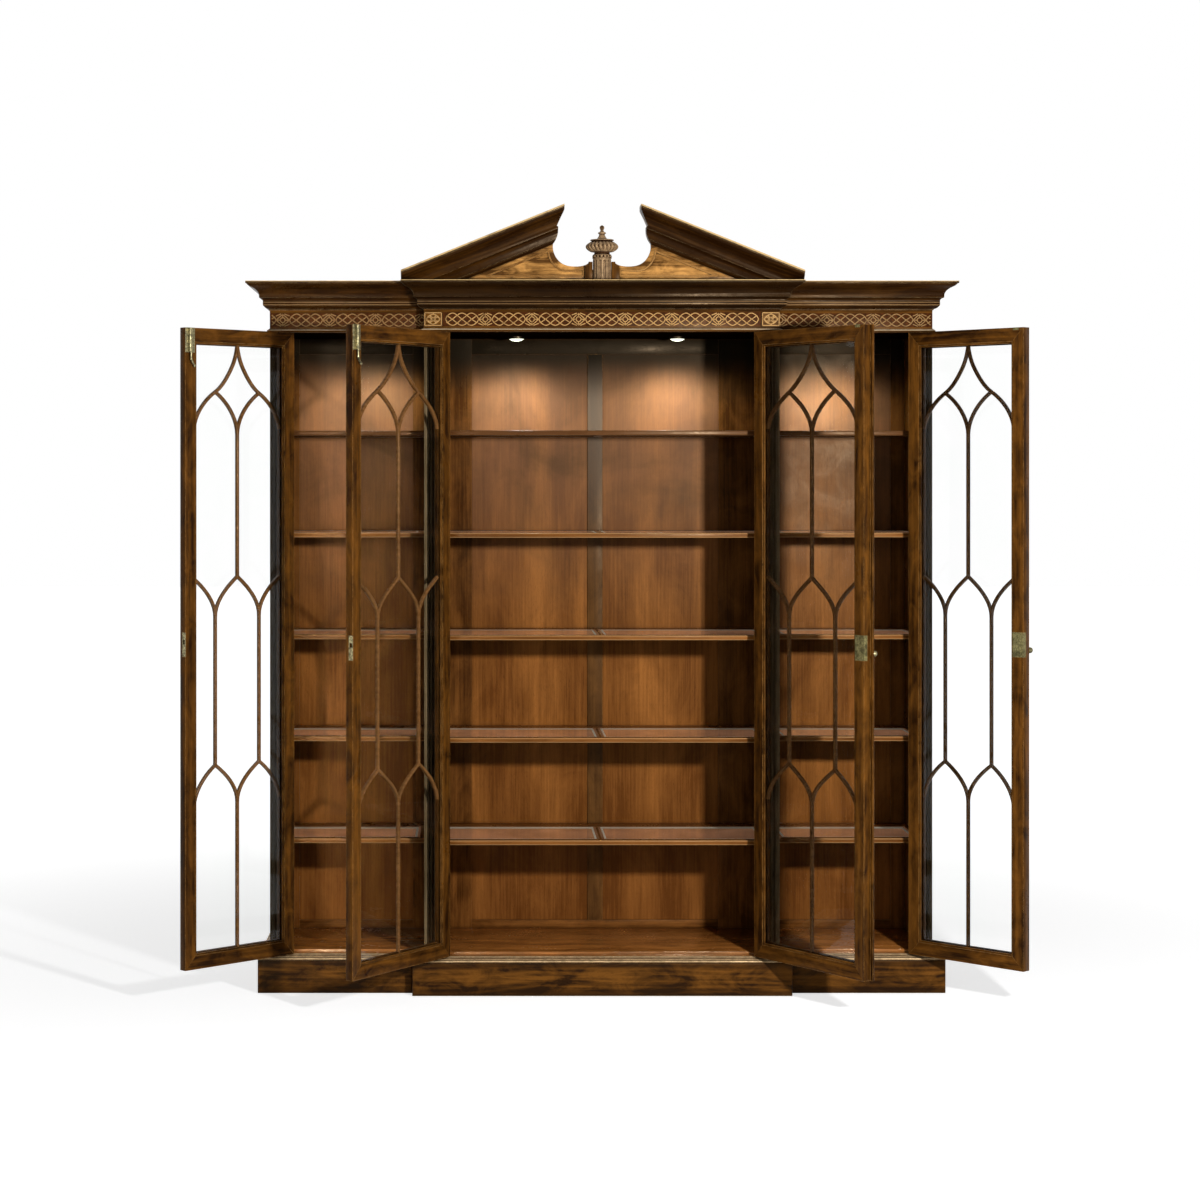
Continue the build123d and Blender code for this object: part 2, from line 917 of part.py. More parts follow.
behind = face_centre + tympanum_t
cheek = block(
    cheek_step,
    -shaft_r - 1,
    face_centre - cheek_out,
    behind,
    cornice_top,
    shoulder_z - 4,
)
cheek += block(
    -cheek_x, cheek_step, face_centre - cheek_out, face_centre, cornice_top, shoulder_z - 16
)
braces = [
    block(-scoop_side_x, scoop_side_x, behind, behind + brace_t, dust_z, scoop_low_z - 8)
]
brace_low = -brace_x - brace_half_w
brace_high = -brace_x + brace_half_w
brace = outline(
    [
        (brace_low, dust_z),
        (brace_high, dust_z),
        (brace_high, rake_line(brace_low, rake_h)),
        (brace_low, rake_line(brace_low, rake_h)),
    ]
)
braces += both([upright(brace, behind, behind + brace_t), cheek])
save("pediment_blocks", braces)

# ---- finial ----

shaft = Pos(0, finial_y, (cornice_top + shaft_top) / 2) * Cylinder(shaft_r, shaft_h)
flute_low = cornice_top + flute_end
flute_high = shaft_top - flute_end
for i in range(flutes):
    turn = 2 * math.pi * (i + 0.5) / flutes
    x = (shaft_r + flute_out) * math.cos(turn)
    y = finial_y + (shaft_r + flute_out) * math.sin(turn)
    shaft -= Pos(x, y, (flute_low + flute_high) / 2) * Cylinder(flute_r, flute_high - flute_low)
    shaft -= Pos(x, y, flute_high) * Sphere(flute_r)
    shaft -= Pos(x, y, flute_low) * Sphere(flute_r)
dowel_hole = Cylinder(dowel_r + dowel_play, dowel_depth)
shaft -= Pos(0, finial_y, shaft_top - dowel_depth / 2) * dowel_hole
save("finial_pedestal", [shaft])

urn_outline = section(
    [
        (0, shaft_top),
        (29, shaft_top),
        [(31, shaft_top + 5), (29, shaft_top + 10)],
        (25, shaft_top + 11),
        [(23.5, shaft_top + 16), (27, shaft_top + 21), (42, shaft_top + 29), (50.5, shaft_top + 40)],
        [(47, shaft_top + 50), (37, shaft_top + 54)],
        (36, shaft_top + 57),
        (17, shaft_top + 59),
        [(11, shaft_top + 67), (8.5, shaft_top + 76)],
        (12, shaft_top + 77),
        (12, shaft_top + 81),
        [(5, shaft_top + 85), (4, shaft_top + 90), (6, shaft_top + 96)],
        (6, shaft_top + urn_h - urn_tip_h),
        (0, shaft_top + urn_h),
    ]
)
urn = Pos(0, finial_y, 0) * revolve(Rot(90, 0, 0) * urn_outline, axis=Axis.Z)
urn += Pos(0, finial_y, shaft_top - dowel_depth / 2 + dowel_spare) * Cylinder(dowel_r, dowel_depth)
save("finial_urn", [urn])

# ---- lights ----

housings_made = []
lenses_made = []
lens_dome_r = lens_r - lens_play
lens_ball = (lens_dome_r**2 + lens_drop**2) / (2 * lens_drop)
puck_centre_x = centre_in - puck_centre_in
puck_wing_x = centre_half + puck_wing_in
for x in (-puck_wing_x, -puck_centre_x, puck_centre_x, puck_wing_x):
    under = Pos(x, puck_y, ceiling_under - puck_h)
    ring = under * Pos(0, 0, puck_h / 2) * Cylinder(puck_r, puck_h)
    rim = ring.edges().filter_by(GeomType.CIRCLE).sort_by(Axis.Z)[0]
    ring = fillet(rim, puck_round)
    housings_made.append(ring - under * Pos(0, 0, lens_h / 2) * Cylinder(lens_r, lens_h))
    lens = Pos(0, 0, lens_h / 2) * Cylinder(lens_dome_r, lens_h)
    dome = Pos(0, 0, lens_ball - lens_drop) * Sphere(lens_ball)
    dome &= Pos(0, 0, -lens_drop / 2) * Cylinder(lens_dome_r, lens_drop)
    lenses_made.append(under * (lens + dome))
save("light_housings", housings_made)
save("light_lenses", lenses_made)

# ---- hinges ----


def leaf_plate(z, side):
    """The flat of a leaf beside the axis, on the door's side or the pilaster's."""
    s0 = hinge_gap / 2
    s1 = s0 + leaf_t
    a, b = (s0, s1) if side > 0 else (-s1, -s0)
    y0 = pin_out + leaf_clear
    return block(a, b, y0, pin_out + leaf_w, z - leaf_h / 2, z + leaf_h / 2)


def leaf_neck(z, height, side):
    s0 = hinge_gap / 2
    s1 = s0 + leaf_t
    a, b = (s0, s1) if side > 0 else (-s1, -s0)
    return block(a, b, 0, pin_out + leaf_clear, z - height / 2, z + height / 2)


end_h = (leaf_h - knuckle_h) / 2 - knuckle_play


def fixed_leaf(z):
    body = leaf_plate(z, -1)
    bore = Pos(0, 0, z) * Cylinder(pin_r, leaf_h)
    for k in (1, -1):
        zk = z + k * (knuckle_h / 2 + knuckle_play + end_h / 2)
        body += leaf_neck(zk, end_h, -1)
        body += Pos(0, 0, zk) * Cylinder(knuckle_r, end_h)
    return body - bore


def door_leaf(z):
    body = leaf_plate(z, 1) + leaf_neck(z, knuckle_h, 1)
    body += Pos(0, 0, z) * Cylinder(knuckle_r, knuckle_h)
    return body - Pos(0, 0, z) * Cylinder(pin_r + pin_play, leaf_h)


def hinge_pin(z):
    body = Pos(0, 0, z) * Cylinder(pin_r, leaf_h)
    for k in (1, -1):
        head = Pos(0, 0, z + k * leaf_h / 2) * Sphere(pin_head_r)
        half = Pos(0, 0, z + k * (leaf_h / 2 + pin_head_r)) * Box(*[2 * pin_head_r] * 3)
        body += head & half
    return body


# ---- doors ----


def tracery(edge):
    """The glazing bars' outline between the stiles of a door."""
    s0 = hinge_gap / 2 + stile_w
    s1 = edge - stile_w
    c = (s0 + s1) / 2
    h = (s1 - s0) / 2
    q = h * twin_share
    z_head = door_top - rail_w
    z_foot = door_bottom + rail_w
    z1, z2, z3 = [door_top - arch for arch in (arch_1, arch_2, arch_3)]
    low_1 = z1 - meet_1
    low_2 = z2 - meet_2
    low_3 = z3 - meet_3
    lines = [Line((c, low_1), (c, z2)), Line((c, low_3), (c, z_foot))]
    for k in (1, -1):
        x = c + k * q
        side = c + k * h
        ogee = [(c, z_head + 4), (c + k * 0.15 * h, (z_head + z1) / 2 + 1.5), (x, z1)]
        lines += [
            Spline(*ogee, tangents=((k * 0.12, -1), (k, -0.62))),
            Spline((x, z1), (side, low_1 + 18), tangents=((k, -0.62), (k * 0.12, -1))),
            Spline((x, z1), (c, low_1), tangents=((-k, -0.62), (-k * 0.02, -1))),
            Spline((c, z2), (x, low_2), tangents=((k, -0.8), (0, -1))),
            Spline((side, z2 - 4), (x, low_2), tangents=((-k, -0.75), (0, -1))),
            Line((x, low_2), (x, z3)),
            Spline((x, z3), (c, low_3), tangents=((-k, -0.7), (0, -1))),
            Spline((x, z3), (side, low_3), tangents=((k, -0.7), (k * 0.1, -1))),
        ]
    made = Sketch()
    for line in lines:
        made += trace(line, line_width=bar_w)
    window = Pos(c, (z_head + z_foot) / 2) * Rectangle(s1 - s0, z_head - z_foot)
    return made & window


def door_pieces(edge, lock, lap):
    """A door drawn shut: hinge axis on z, free edge at +x, inner face at +y."""
    s0 = hinge_gap / 2
    y0 = pin_out
    y1 = pin_out + door_t
    inner_s = stile_w - rebate
    inner_z = rail_w - rebate
    corners = {
        "foot": [
            (s0, door_bottom),
            (edge, door_bottom),
            (edge - stile_w, door_bottom + rail_w),
            (s0 + stile_w, door_bottom + rail_w),
        ],
        "head": [
            (s0, door_top),
            (s0 + stile_w, door_top - rail_w),
            (edge - stile_w, door_top - rail_w),
            (edge, door_top),
        ],
        "hinge": [
            (s0, door_bottom),
            (s0 + stile_w, door_bottom + rail_w),
            (s0 + stile_w, door_top - rail_w),
            (s0, door_top),
        ],
        "free": [
            (edge, door_bottom),
            (edge, door_top),
            (edge - stile_w, door_top - rail_w),
            (edge - stile_w, door_bottom + rail_w),
        ],
    }
    well = block(
        s0 + inner_s,
        edge - inner_s,
        y0 + front_t,
        y1,
        door_bottom + inner_z,
        door_top - inner_z,
    )
    members = {name: upright(outline(pts), y0, y1) - well for name, pts in corners.items()}
    for z in hinge_heights:
        members["hinge"] -= leaf_plate(z, 1)
        members["hinge"] -= block(s0, s0 + leaf_t, y0, y0 + leaf_clear, z - leaf_h / 2, z + leaf_h / 2)
    brass = []
    rod = None
    latch = None
    knob = None
    strips = []
    if lock:
        face = block(
            edge - inner_s, edge, y1 - lock_plate_t, y1, lock_z - lock_h / 2, lock_z + lock_h / 2
        )
        wrap = block(
            edge - lock_plate_t, edge, y1 - lock_wrap, y1, lock_z - lock_h / 2, lock_z + lock_h / 2
        )
        case = block(
            edge - lock_plate_t - case_w,
            edge - lock_plate_t,
            y1 - lock_plate_t - case_t,
            y1 - lock_plate_t,
            lock_z - case_h / 2,
            lock_z + case_h / 2,
        )
        body = face + wrap + case
        ch = latch_w / 2 + latch_play
        cz = latch_h / 2 + latch_play
        bore = block(edge - latch_l - 3, edge, latch_y - ch, latch_y + ch, latch_z - cz, latch_z + cz)
        body -= bore
        spindle_s = edge - spindle_in
        spindle_z = lock_z - spindle_down
        front = y0 - strip_t - rose_t
        inner = y1 - lock_plate_t - 2.0
        drill = Pos(spindle_s, (front + inner) / 2, spindle_z) * Rot(90, 0, 0)
        body -= drill * Cylinder(spindle_r + spindle_play, inner - front)
        brass.append(body)
        hole = drill * Cylinder(spindle_r + 0.4, inner - front)
        members["free"] -= [face, wrap, case, hole]
        latch = block(
            edge - latch_l - latch_in,
            edge - latch_in,
            latch_y - latch_w / 2,
            latch_y + latch_w / 2,
            latch_z - latch_h / 2,
            latch_z + latch_h / 2,
        )
        rose = Pos(spindle_s, y0 - strip_t - rose_t / 2, spindle_z) * Rot(90, 0, 0)
        brass.append(
            rose * (Cylinder(rose_r, rose_t) - Cylinder(spindle_r + spindle_play, rose_t))
        )
        catch = block(
            edge - catch_in - catch_w,
            edge - catch_in,
            y1,
            y1 + lock_plate_t,
            door_top - catch_h,
            door_top,
        )
        brass.append(catch)
        grip = section(
            [
                (0, 0.3),
                (spindle_r + 1.5, 0.3),
                [(spindle_r + 0.8, 6), (knob_r * 0.75, 11), (knob_r, 17), (knob_r * 0.7, 23)],
                (0, knob_reach),
            ]
        )
        turned = revolve(Rot(90, 0, 0) * grip, axis=Axis.Z)
        knob = Pos(spindle_s, front, spindle_z) * Rot(90, 0, 0) * turned
        shaft_long = inner - front + 12
        knob += Pos(0, (inner - front - shaft_long) / 2, 0) * drill * Cylinder(spindle_r, shaft_long)
        knob -= Pos(spindle_s, inner + 5, spindle_z) * Box(20, 10, 20)
        overlap = lap if lap else 0.0
        strip = block(edge + overlap - strip_w, edge, y0 - strip_t, y0, door_bottom, door_top)
        if overlap:
            strip += block(
                edge, edge + overlap, y0 - strip_t, y0 - strip_clear, door_bottom, door_top
            )
        outer = strip.edges().filter_by(Axis.Z).group_by(Axis.Y)[0]
        strip = fillet(outer, strip_round)
        strips.append(strip - hole)
    else:
        plate = block(edge - plate_w, edge, y1, y1 + plate_t, door_top - plate_h, door_top)
        mid = edge - plate_w / 2
        ridge_y = y1 + plate_t + ridge_t / 2
        ridge = block(
            mid - ridge_w / 2,
            mid + ridge_w / 2,
            y1 + plate_t,
            y1 + plate_t + ridge_t,
            door_top - plate_h + ridge_in,
            door_top - ridge_in,
        )
        ridge = fillet(ridge.edges().filter_by(Axis.Z).group_by(Axis.Y)[-1], 3.0)
        way = Pos(mid, ridge_y, (rod_low + rod_high) / 2)
        guide = plate + ridge
        guide -= way * Cylinder(rod_r + rod_play, rod_high - rod_low + 40)
        brass.append(guide)
        rod = way * Cylinder(rod_r, rod_high - rod_low)
        tail_top = rod_low + 8
        tail = trace(
            Spline(
                (mid, tail_top),
                (mid - 3, tail_top - 12),
                (mid - 12, tail_top - 24),
                tangents=((0, -1), (-1, -0.7)),
            ),
            line_width=tail_w,
        )
        rod += upright(tail, ridge_y - tail_t / 2, ridge_y + tail_t / 2)
        rod += Pos(mid - 13, ridge_y, tail_top - 26) * Sphere(tail_t)
        seat = block(
            edge - leaf_t,
            edge,
            latch_y - case_t / 2 - lock_plate_t,
            latch_y + case_t / 2 + lock_plate_t,
            lock_z - lock_h / 2 + 1,
            lock_z + lock_h / 2 - 1,
        )
        pocket = slot(edge - latch_travel - 3, edge, latch_y)
        members["free"] -= [seat, pocket]
        brass.append(seat - pocket)
    bead_y0 = y0 + front_t + glass_t
    bead_y1 = bead_y0 + glass_bead
    in_s0 = s0 + inner_s
    in_s1 = edge - inner_s
    in_z0 = door_bottom + inner_z
    in_z1 = door_top - inner_z
    beads = [
        block(in_s0, in_s0 + glass_bead, bead_y0, bead_y1, in_z0, in_z1),
        block(in_s1 - glass_bead, in_s1, bead_y0, bead_y1, in_z0, in_z1),
        block(in_s0 + glass_bead, in_s1 - glass_bead, bead_y0, bead_y1, in_z0, in_z0 + glass_bead),
        block(in_s0 + glass_bead, in_s1 - glass_bead, bead_y0, bead_y1, in_z1 - glass_bead, in_z1),
    ]
    pane = block(
        in_s0 + glass_play,
        in_s1 - glass_play,
        y0 + front_t,
        y0 + front_t + glass_t,
        in_z0 + glass_play,
        in_z1 - glass_play,
    )
    return {
        "frame": list(members.values()) + beads + strips,
        "bars": [upright(tracery(edge), y0 + bar_in, y0 + front_t)],
        "glass": [pane],
        "leaves": [door_leaf(z) for z in hinge_heights],
        "brass": brass,
        "rod": [rod] if rod else [],
        "latch": [latch] if latch else [],
        "knob": [knob] if knob else [],
    }


doors = [
    ("door1", -1, -wing_axis_x, wing_axis_y, wing_edge, open_wing_left, False, 0.0),
    ("door2", -1, -centre_axis_x, centre_axis_y, centre_edge, open_centre_left, False, 0.0),
    ("door3", 1, centre_axis_x, centre_axis_y, centre_edge, open_centre_right, True, strip_lap),
    ("door4", 1, wing_axis_x, wing_axis_y, wing_edge, open_wing_right, True, 0.0),
]
fixed_leaves = []
pins = []
for name, hand, ax, ay, edge, opening, lock, lap in doors:
    spot = Pos(ax, ay, 0)
    for piece, solids in door_pieces(edge, lock, lap).items():
        if not solids:
            continue
        if hand > 0:
            solids = [mirror(s, about=Plane.YZ) for s in solids]
        save(f"{name}_{piece}", [spot * Rot(0, 0, hand * opening) * s for s in solids])
    leaves = [fixed_leaf(z) for z in hinge_heights]
    if hand > 0:
        leaves = [mirror(s, about=Plane.YZ) for s in leaves]
    fixed_leaves += [spot * s for s in leaves]
    pins += [spot * hinge_pin(z) for z in hinge_heights]
save("hinge_leaves_fixed", fixed_leaves)
save("hinge_pins", pins)
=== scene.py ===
"""Finish and ornament of a breakfront bookcase, laid out as an add-on."""

import functools
import json
import math
import random

import bmesh
import bpy
import numpy as np
from bpy.props import FloatProperty, FloatVectorProperty, IntProperty, PointerProperty
from mathutils import Matrix, Vector

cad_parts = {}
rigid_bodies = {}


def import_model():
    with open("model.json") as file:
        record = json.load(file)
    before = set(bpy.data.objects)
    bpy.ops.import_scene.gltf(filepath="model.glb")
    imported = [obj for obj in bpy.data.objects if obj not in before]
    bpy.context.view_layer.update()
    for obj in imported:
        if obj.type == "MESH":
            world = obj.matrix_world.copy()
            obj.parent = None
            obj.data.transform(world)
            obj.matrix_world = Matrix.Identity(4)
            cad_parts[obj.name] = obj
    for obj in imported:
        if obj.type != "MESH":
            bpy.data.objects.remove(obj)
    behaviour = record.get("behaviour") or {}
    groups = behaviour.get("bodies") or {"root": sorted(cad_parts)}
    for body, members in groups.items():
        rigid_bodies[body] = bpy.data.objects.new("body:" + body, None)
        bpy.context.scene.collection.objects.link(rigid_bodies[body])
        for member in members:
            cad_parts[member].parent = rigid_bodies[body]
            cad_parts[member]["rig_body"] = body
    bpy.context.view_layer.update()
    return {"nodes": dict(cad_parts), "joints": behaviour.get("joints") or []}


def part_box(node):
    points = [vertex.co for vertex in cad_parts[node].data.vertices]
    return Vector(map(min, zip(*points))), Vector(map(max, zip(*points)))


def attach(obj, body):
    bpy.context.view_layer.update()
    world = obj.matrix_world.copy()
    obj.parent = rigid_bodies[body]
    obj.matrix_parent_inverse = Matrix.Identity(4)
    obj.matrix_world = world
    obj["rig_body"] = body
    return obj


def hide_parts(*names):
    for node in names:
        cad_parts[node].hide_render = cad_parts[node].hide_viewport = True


bl_info = {
    "name": "Breakfront Bookcase",
    "version": (1, 0, 0),
    "blender": (4, 5, 0),
    "location": "3D View > Sidebar > Bookcase",
    "description": "Dresses a breakfront bookcase: boards, frets, finial, glazing, brass and lamps",
    "category": "Object",
}

for start_object in list(bpy.data.objects):
    bpy.data.objects.remove(start_object)

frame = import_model()

HINGES = {j["child"]: j for j in frame["joints"] if j["name"].endswith("_hinge")}
DOORS = sorted(HINGES)
FRIEZE_FACE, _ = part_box("frieze_boards")
FRET_LOW, FRET_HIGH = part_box("fretwork")
MM = 0.001
QUARTER = math.pi / 2
BLACK = (0.0, 0.0, 0.0, 1.0)
WHITE = (1.0, 1.0, 1.0, 1.0)
WARM_SHEEN = (1.0, 0.72, 0.45, 1.0)
FORWARD = (0.0, -1.0, 0.0)
HANDS = (1, -1)
WELD = 1e-6
FLAT = math.radians(0.6)  # faces that turn less than this are one face
ARRIS = math.radians(40)  # edges that turn more than this are eased
CREASE = math.radians(24)  # shading breaks on edges that turn more than this
STRIP_THICKNESS = 4 * MM
CENTRE_REACH = 0.62  # half the width of the middle bay, with its ends
SHADE_CLOUD_HEIGHTS = (0.9, 1.75)  # heights between which the clouds of painted shade grow
SHELF_REBATE = 8 * MM
PANE_BORDERS = ((6 * MM, 6 * MM), (3 * MM, 34 * MM))  # at both ends, then at front and back
BAR_LAP = 4 * MM  # how far glazing bars run under the rails
BLOCK_WIDTH = 55 * MM
BLOCK_FIELD = 2 * MM  # how far a block's ground lies behind its carving
BAY_MARGIN = 9.5 * MM
WING_MARGIN = 8 * MM
FRET_MARGIN = 2.6 * MM
FRET_STEP = 47 * MM  # how far the wings' frieze stands back
FRET_SUNK = 0.5 * MM
FRET_RISE = 0.7 * MM  # how far each layer of strands lies behind the one above
BAR_STEPS = 10
FRET_STEPS = 7
LAMP_CONE = math.radians(146)
LAMP_RADIUS = 20 * MM
LAMP_DROP = 3 * MM
LAMP_TINT = (0.92, 1.0, 0.98)
FLOOR_HALF = 30.0


# ---- settings -------------------------------------------------------------------------------


def number(label, text, value, kind=FloatProperty, **settings):
    return kind(name=label, description=text, default=value, **settings)


triple = functools.partial(number, kind=FloatVectorProperty)
colour = functools.partial(triple, subtype="COLOR", size=3, min=0.0, max=1.0)
integer = functools.partial(number, kind=IntProperty)
length = functools.partial(number, unit="LENGTH", subtype="DISTANCE", precision=4)


class BookcaseWoods(bpy.types.PropertyGroup):
    """Colours of the polished timbers."""

    case_light: colour("Case light", "Light streaks of the polished case", (0.135, 0.050, 0.007))
    case_dark: colour("Case dark", "Dark streaks of the polished case", (0.016, 0.0052, 0.001))
    # The worn edge colour also paints highlights along the arrises.
    edge: colour("Worn edge", "Wood where the polish is rubbed through", (0.34, 0.165, 0.045))
    back_light: colour("Back light", "Light streaks of the back panels", (0.34, 0.125, 0.026))
    back_dark: colour("Back dark", "Dark streaks of the back panels", (0.095, 0.030, 0.005))
    veneer_light: colour("Veneer light", "Golden figure of the tympanum", (0.42, 0.205, 0.055))
    veneer_dark: colour("Veneer dark", "Dark figure of the tympanum", (0.17, 0.068, 0.015))
    gilt: colour("Gilding", "Rubbed gilding on the reeds and frets", (0.58, 0.41, 0.22))
    recess: colour("Recess", "Dark ground behind the carving", (0.034, 0.0095, 0.0022))


class BookcaseCarving(bpy.types.PropertyGroup):
    """Sizes of the frets, the corner blocks and the finial."""

    strand_width: length("Strand width", "Width of an interlaced strand", 2.2 * MM)
    strand_height: length("Strand height", "Relief of an interlaced strand", 3.6 * MM)
    repeats_centre: integer("Centre repeats", "Repeats of the fret in the middle", 7)
    repeats_wing: integer("Wing repeats", "Repeats of the fret on each wing", 3)
    slope: number("Slope", "Slope of the pediment", math.radians(22), subtype="ANGLE")
    knot_share: number("Knot share", "Share of a repeat that a knot takes", 0.28)
    ring: length("Knot ring", "Radius of the ring in each knot", 7.4 * MM)
    gadroons: integer("Gadroons", "Swirled lobes round the urn's bowl", 22)
    beads: integer("Beads", "Beads round the urn's foot", 15)
    bead_radius: length("Bead radius", "Radius of one bead of the urn's foot", 4.9 * MM)


class BookcaseGlazing(bpy.types.PropertyGroup):
    """Sizes of the gothic glazing bars."""

    width: length("Bar width", "Width of a glazing bar", 11.5 * MM)
    depth: length("Bar depth", "Depth of a glazing bar", 10.6 * MM)
    rounding: length("Rounding", "Radius on the arrises of a glazing bar", 3.6 * MM)
    twin: number("Twin bars", "Place of the twin bars between middle and stile", 0.52)


class BookcaseStage(bpy.types.PropertyGroup):
    """Camera and lamps."""

    lens: number("Lens", "Focal length", 78.0, unit="CAMERA")
    eye: triple("Eye", "Camera position", (-0.3898, -8.26, 1.58), subtype="TRANSLATION", size=3)
    shift: triple("Shift", "Sideways and upward lens shift", (0.10417, -0.1), size=2)
    world_level: number("Sky level", "Strength of the light from all round", 0.09)
    key_power: number("Key power", "Power of the main soft light", 158.0, unit="POWER")
    lamp_power: number("Lamp power", "Power of one ceiling lamp", 15.0, unit="POWER")


# ---- node helpers ---------------------------------------------------------------------------


class Wire:
    """A node's output that sums can be written with."""

    def __init__(self, socket):
        self.socket = socket
        self.tree = socket.id_data

    def maths(self, operation, other=0.0, **settings):
        return wire(
            self.tree, "ShaderNodeMath", {0: self, 1: other}, operation=operation, **settings
        )

    def __add__(self, other):
        return self.maths("ADD", other)

    def __sub__(self, other):
        return self.maths("SUBTRACT", other)

    def __rsub__(self, other):
        return wire(self.tree, "ShaderNodeMath", {0: other, 1: self}, operation="SUBTRACT")

    def __mul__(self, other):
        return self.maths("MULTIPLY", other)

    def __abs__(self):
        return self.maths("ABSOLUTE")


def fill(node, inputs):
    """Gives a node its inputs, by name or number, as values or as wires."""
    for key, value in inputs.items():
        if isinstance(value, Wire):
            node.id_data.links.new(value.socket, node.inputs[key])
        else:
            node.inputs[key].default_value = value


def add(tree, kind, inputs=None, **settings):
    node = tree.nodes.new(kind)
    for key, value in settings.items():
        setattr(node, key, value)
    fill(node, inputs or {})
    return node


def wire(tree, kind, inputs=None, output=0, **settings):
    """One output of a new node."""
    return Wire(add(tree, kind, inputs, **settings).outputs[output])


def rgba(value):
    return (value[0], value[1], value[2], 1.0)


def scaled(tint, share):
    return [c * share for c in tint]


def mix(factor, a, b):
    a, b = (value if isinstance(value, Wire) else rgba(value) for value in (a, b))
    return wire(factor.tree, "ShaderNodeMix", {0: factor, 6: a, 7: b}, 2, data_type="RGBA")


def between(value, low, high, to_low=0.0, to_high=1.0):
    """A value carried from one range to another, with soft ends."""
    inputs = {"Value": value, "From Min": low, "From Max": high}
    inputs |= {"To Min": to_low, "To Max": to_high}
    return wire(value.tree, "ShaderNodeMapRange", inputs, interpolation_type="SMOOTHSTEP")


def noise(vector, scale, detail=4.0, rough=0.55, bend=0.0):
    inputs = {
        "Vector": vector, "Scale": scale, "Detail": detail, "Roughness": rough, "Distortion": bend
    }
    return wire(vector.tree, "ShaderNodeTexNoise", inputs, "Fac")


def stretched(vector, scale):
    return wire(vector.tree, "ShaderNodeVectorMath", {0: vector, 1: scale}, operation="MULTIPLY")


def axes_of(vector):
    return [Wire(s) for s in add(vector.tree, "ShaderNodeSeparateXYZ", {0: vector}).outputs]


def own_place(tree):
    return wire(tree, "ShaderNodeTexCoord", output="Object")


def facing(tree):
    return wire(tree, "ShaderNodeNewGeometry", output="Normal")


def upward(tree):
    """How far a face looks up or down, from 0 to 1."""
    return abs(axes_of(facing(tree))[2])


def bumped(height, strength, distance):
    """The normal of a surface that rises and falls with a height."""
    inputs = {"Height": height, "Strength": strength, "Distance": distance}
    return wire(height.tree, "ShaderNodeBump", inputs)


def any_ray(tree, *kinds):
    """1 where the light path is of one of the kinds."""
    path = add(tree, "ShaderNodeLightPath")
    first, *others = [Wire(path.outputs[f"Is {kind} Ray"]) for kind in kinds]
    for other in others:
        first = first.maths("MAXIMUM", other)
    return first


def group(name, kind, inputs, outputs):
    """An empty node group, the wires of its inputs and its output node.

    Each input has its kind of socket, or the value that a colour or a number starts with.
    """
    tree = bpy.data.node_groups.new(name, kind)
    for label, value in inputs.items():
        socket_kind = "Color" if isinstance(value, tuple) else "Float"
        if isinstance(value, str):
            socket_kind = value
        socket = tree.interface.new_socket(
            label, in_out="INPUT", socket_type=f"NodeSocket{socket_kind}"
        )
        if socket_kind != value:
            socket.default_value = value
    for label, value in outputs.items():
        tree.interface.new_socket(label, in_out="OUTPUT", socket_type=f"NodeSocket{value}")
    given = {s.name: Wire(s) for s in tree.nodes.new("NodeGroupInput").outputs if s.name}
    return tree, given, tree.nodes.new("NodeGroupOutput")


# ---- shared effects -------------------------------------------------------------------------


@functools.cache
def grain_group():
    """Streaks, rings and pores that run along the first axis of the vector."""
    tree, given, out = group(
        "Timber grain", "ShaderNodeTree",
        {"Vector": "Vector", "Light": (0.3, 0.15, 0.05, 1.0), "Dark": (0.1, 0.04, 0.01, 1.0),
         "Tone": 0.0, "Rings": 60.0, "Mottle": 0.4, "Knots": 0.2, "Patch": 1.0},
        {"Color": "Color", "Height": "Float"},
    )
    vector = given["Vector"]
    broad = noise(stretched(vector, (1.1, 9.0, 9.0)), 1.0, 5.0, 0.6, 0.5)
    streaks = noise(stretched(vector, (4.0, 150.0, 150.0)), 1.0, 4.0, 0.65, 0.2)
    bent = noise(stretched(vector, (1.6, 5.0, 5.0)), 1.0, 2.0, 0.5)
    pores = noise(stretched(vector, (70.0, 1300.0, 1300.0)), 1.0, 2.0, 0.5)
    blotch = noise(stretched(vector, (6.0, 13.0, 13.0)), given["Patch"], 5.0, 0.62, 0.8)
    spots = add(
        tree, "ShaderNodeTexVoronoi", {"Vector": stretched(vector, (1.5, 3.4, 3.4)), "Scale": 1.0}
    )
    chosen = Wire(spots.outputs["Color"]).maths("LESS_THAN", given["Knots"])
    knot = between(Wire(spots.outputs["Distance"]), 0.30, 0.02) * chosen
    _, across, through = axes_of(vector)
    pith = across + through * 0.7
    turns = (pith + (bent * 0.09 + knot * 0.12)) * given["Rings"]
    rings = abs((turns * 3.1416).maths("SINE"))
    dashes = between(pores, 0.60, 0.72)
    figure = broad * 0.85 - 0.255 + streaks * 0.6 - rings * 0.16
    figure = figure + (blotch - 0.5) * given["Mottle"] - knot * 0.34
    figure = ((figure - 0.36) * 2.1 + 0.42).maths("ADD", given["Tone"], use_clamp=True)
    base = mix(figure, given["Dark"], given["Light"])
    fill(out, {"Color": mix(dashes * 0.55, base, BLACK), "Height": streaks * 0.6 - dashes})
    return tree


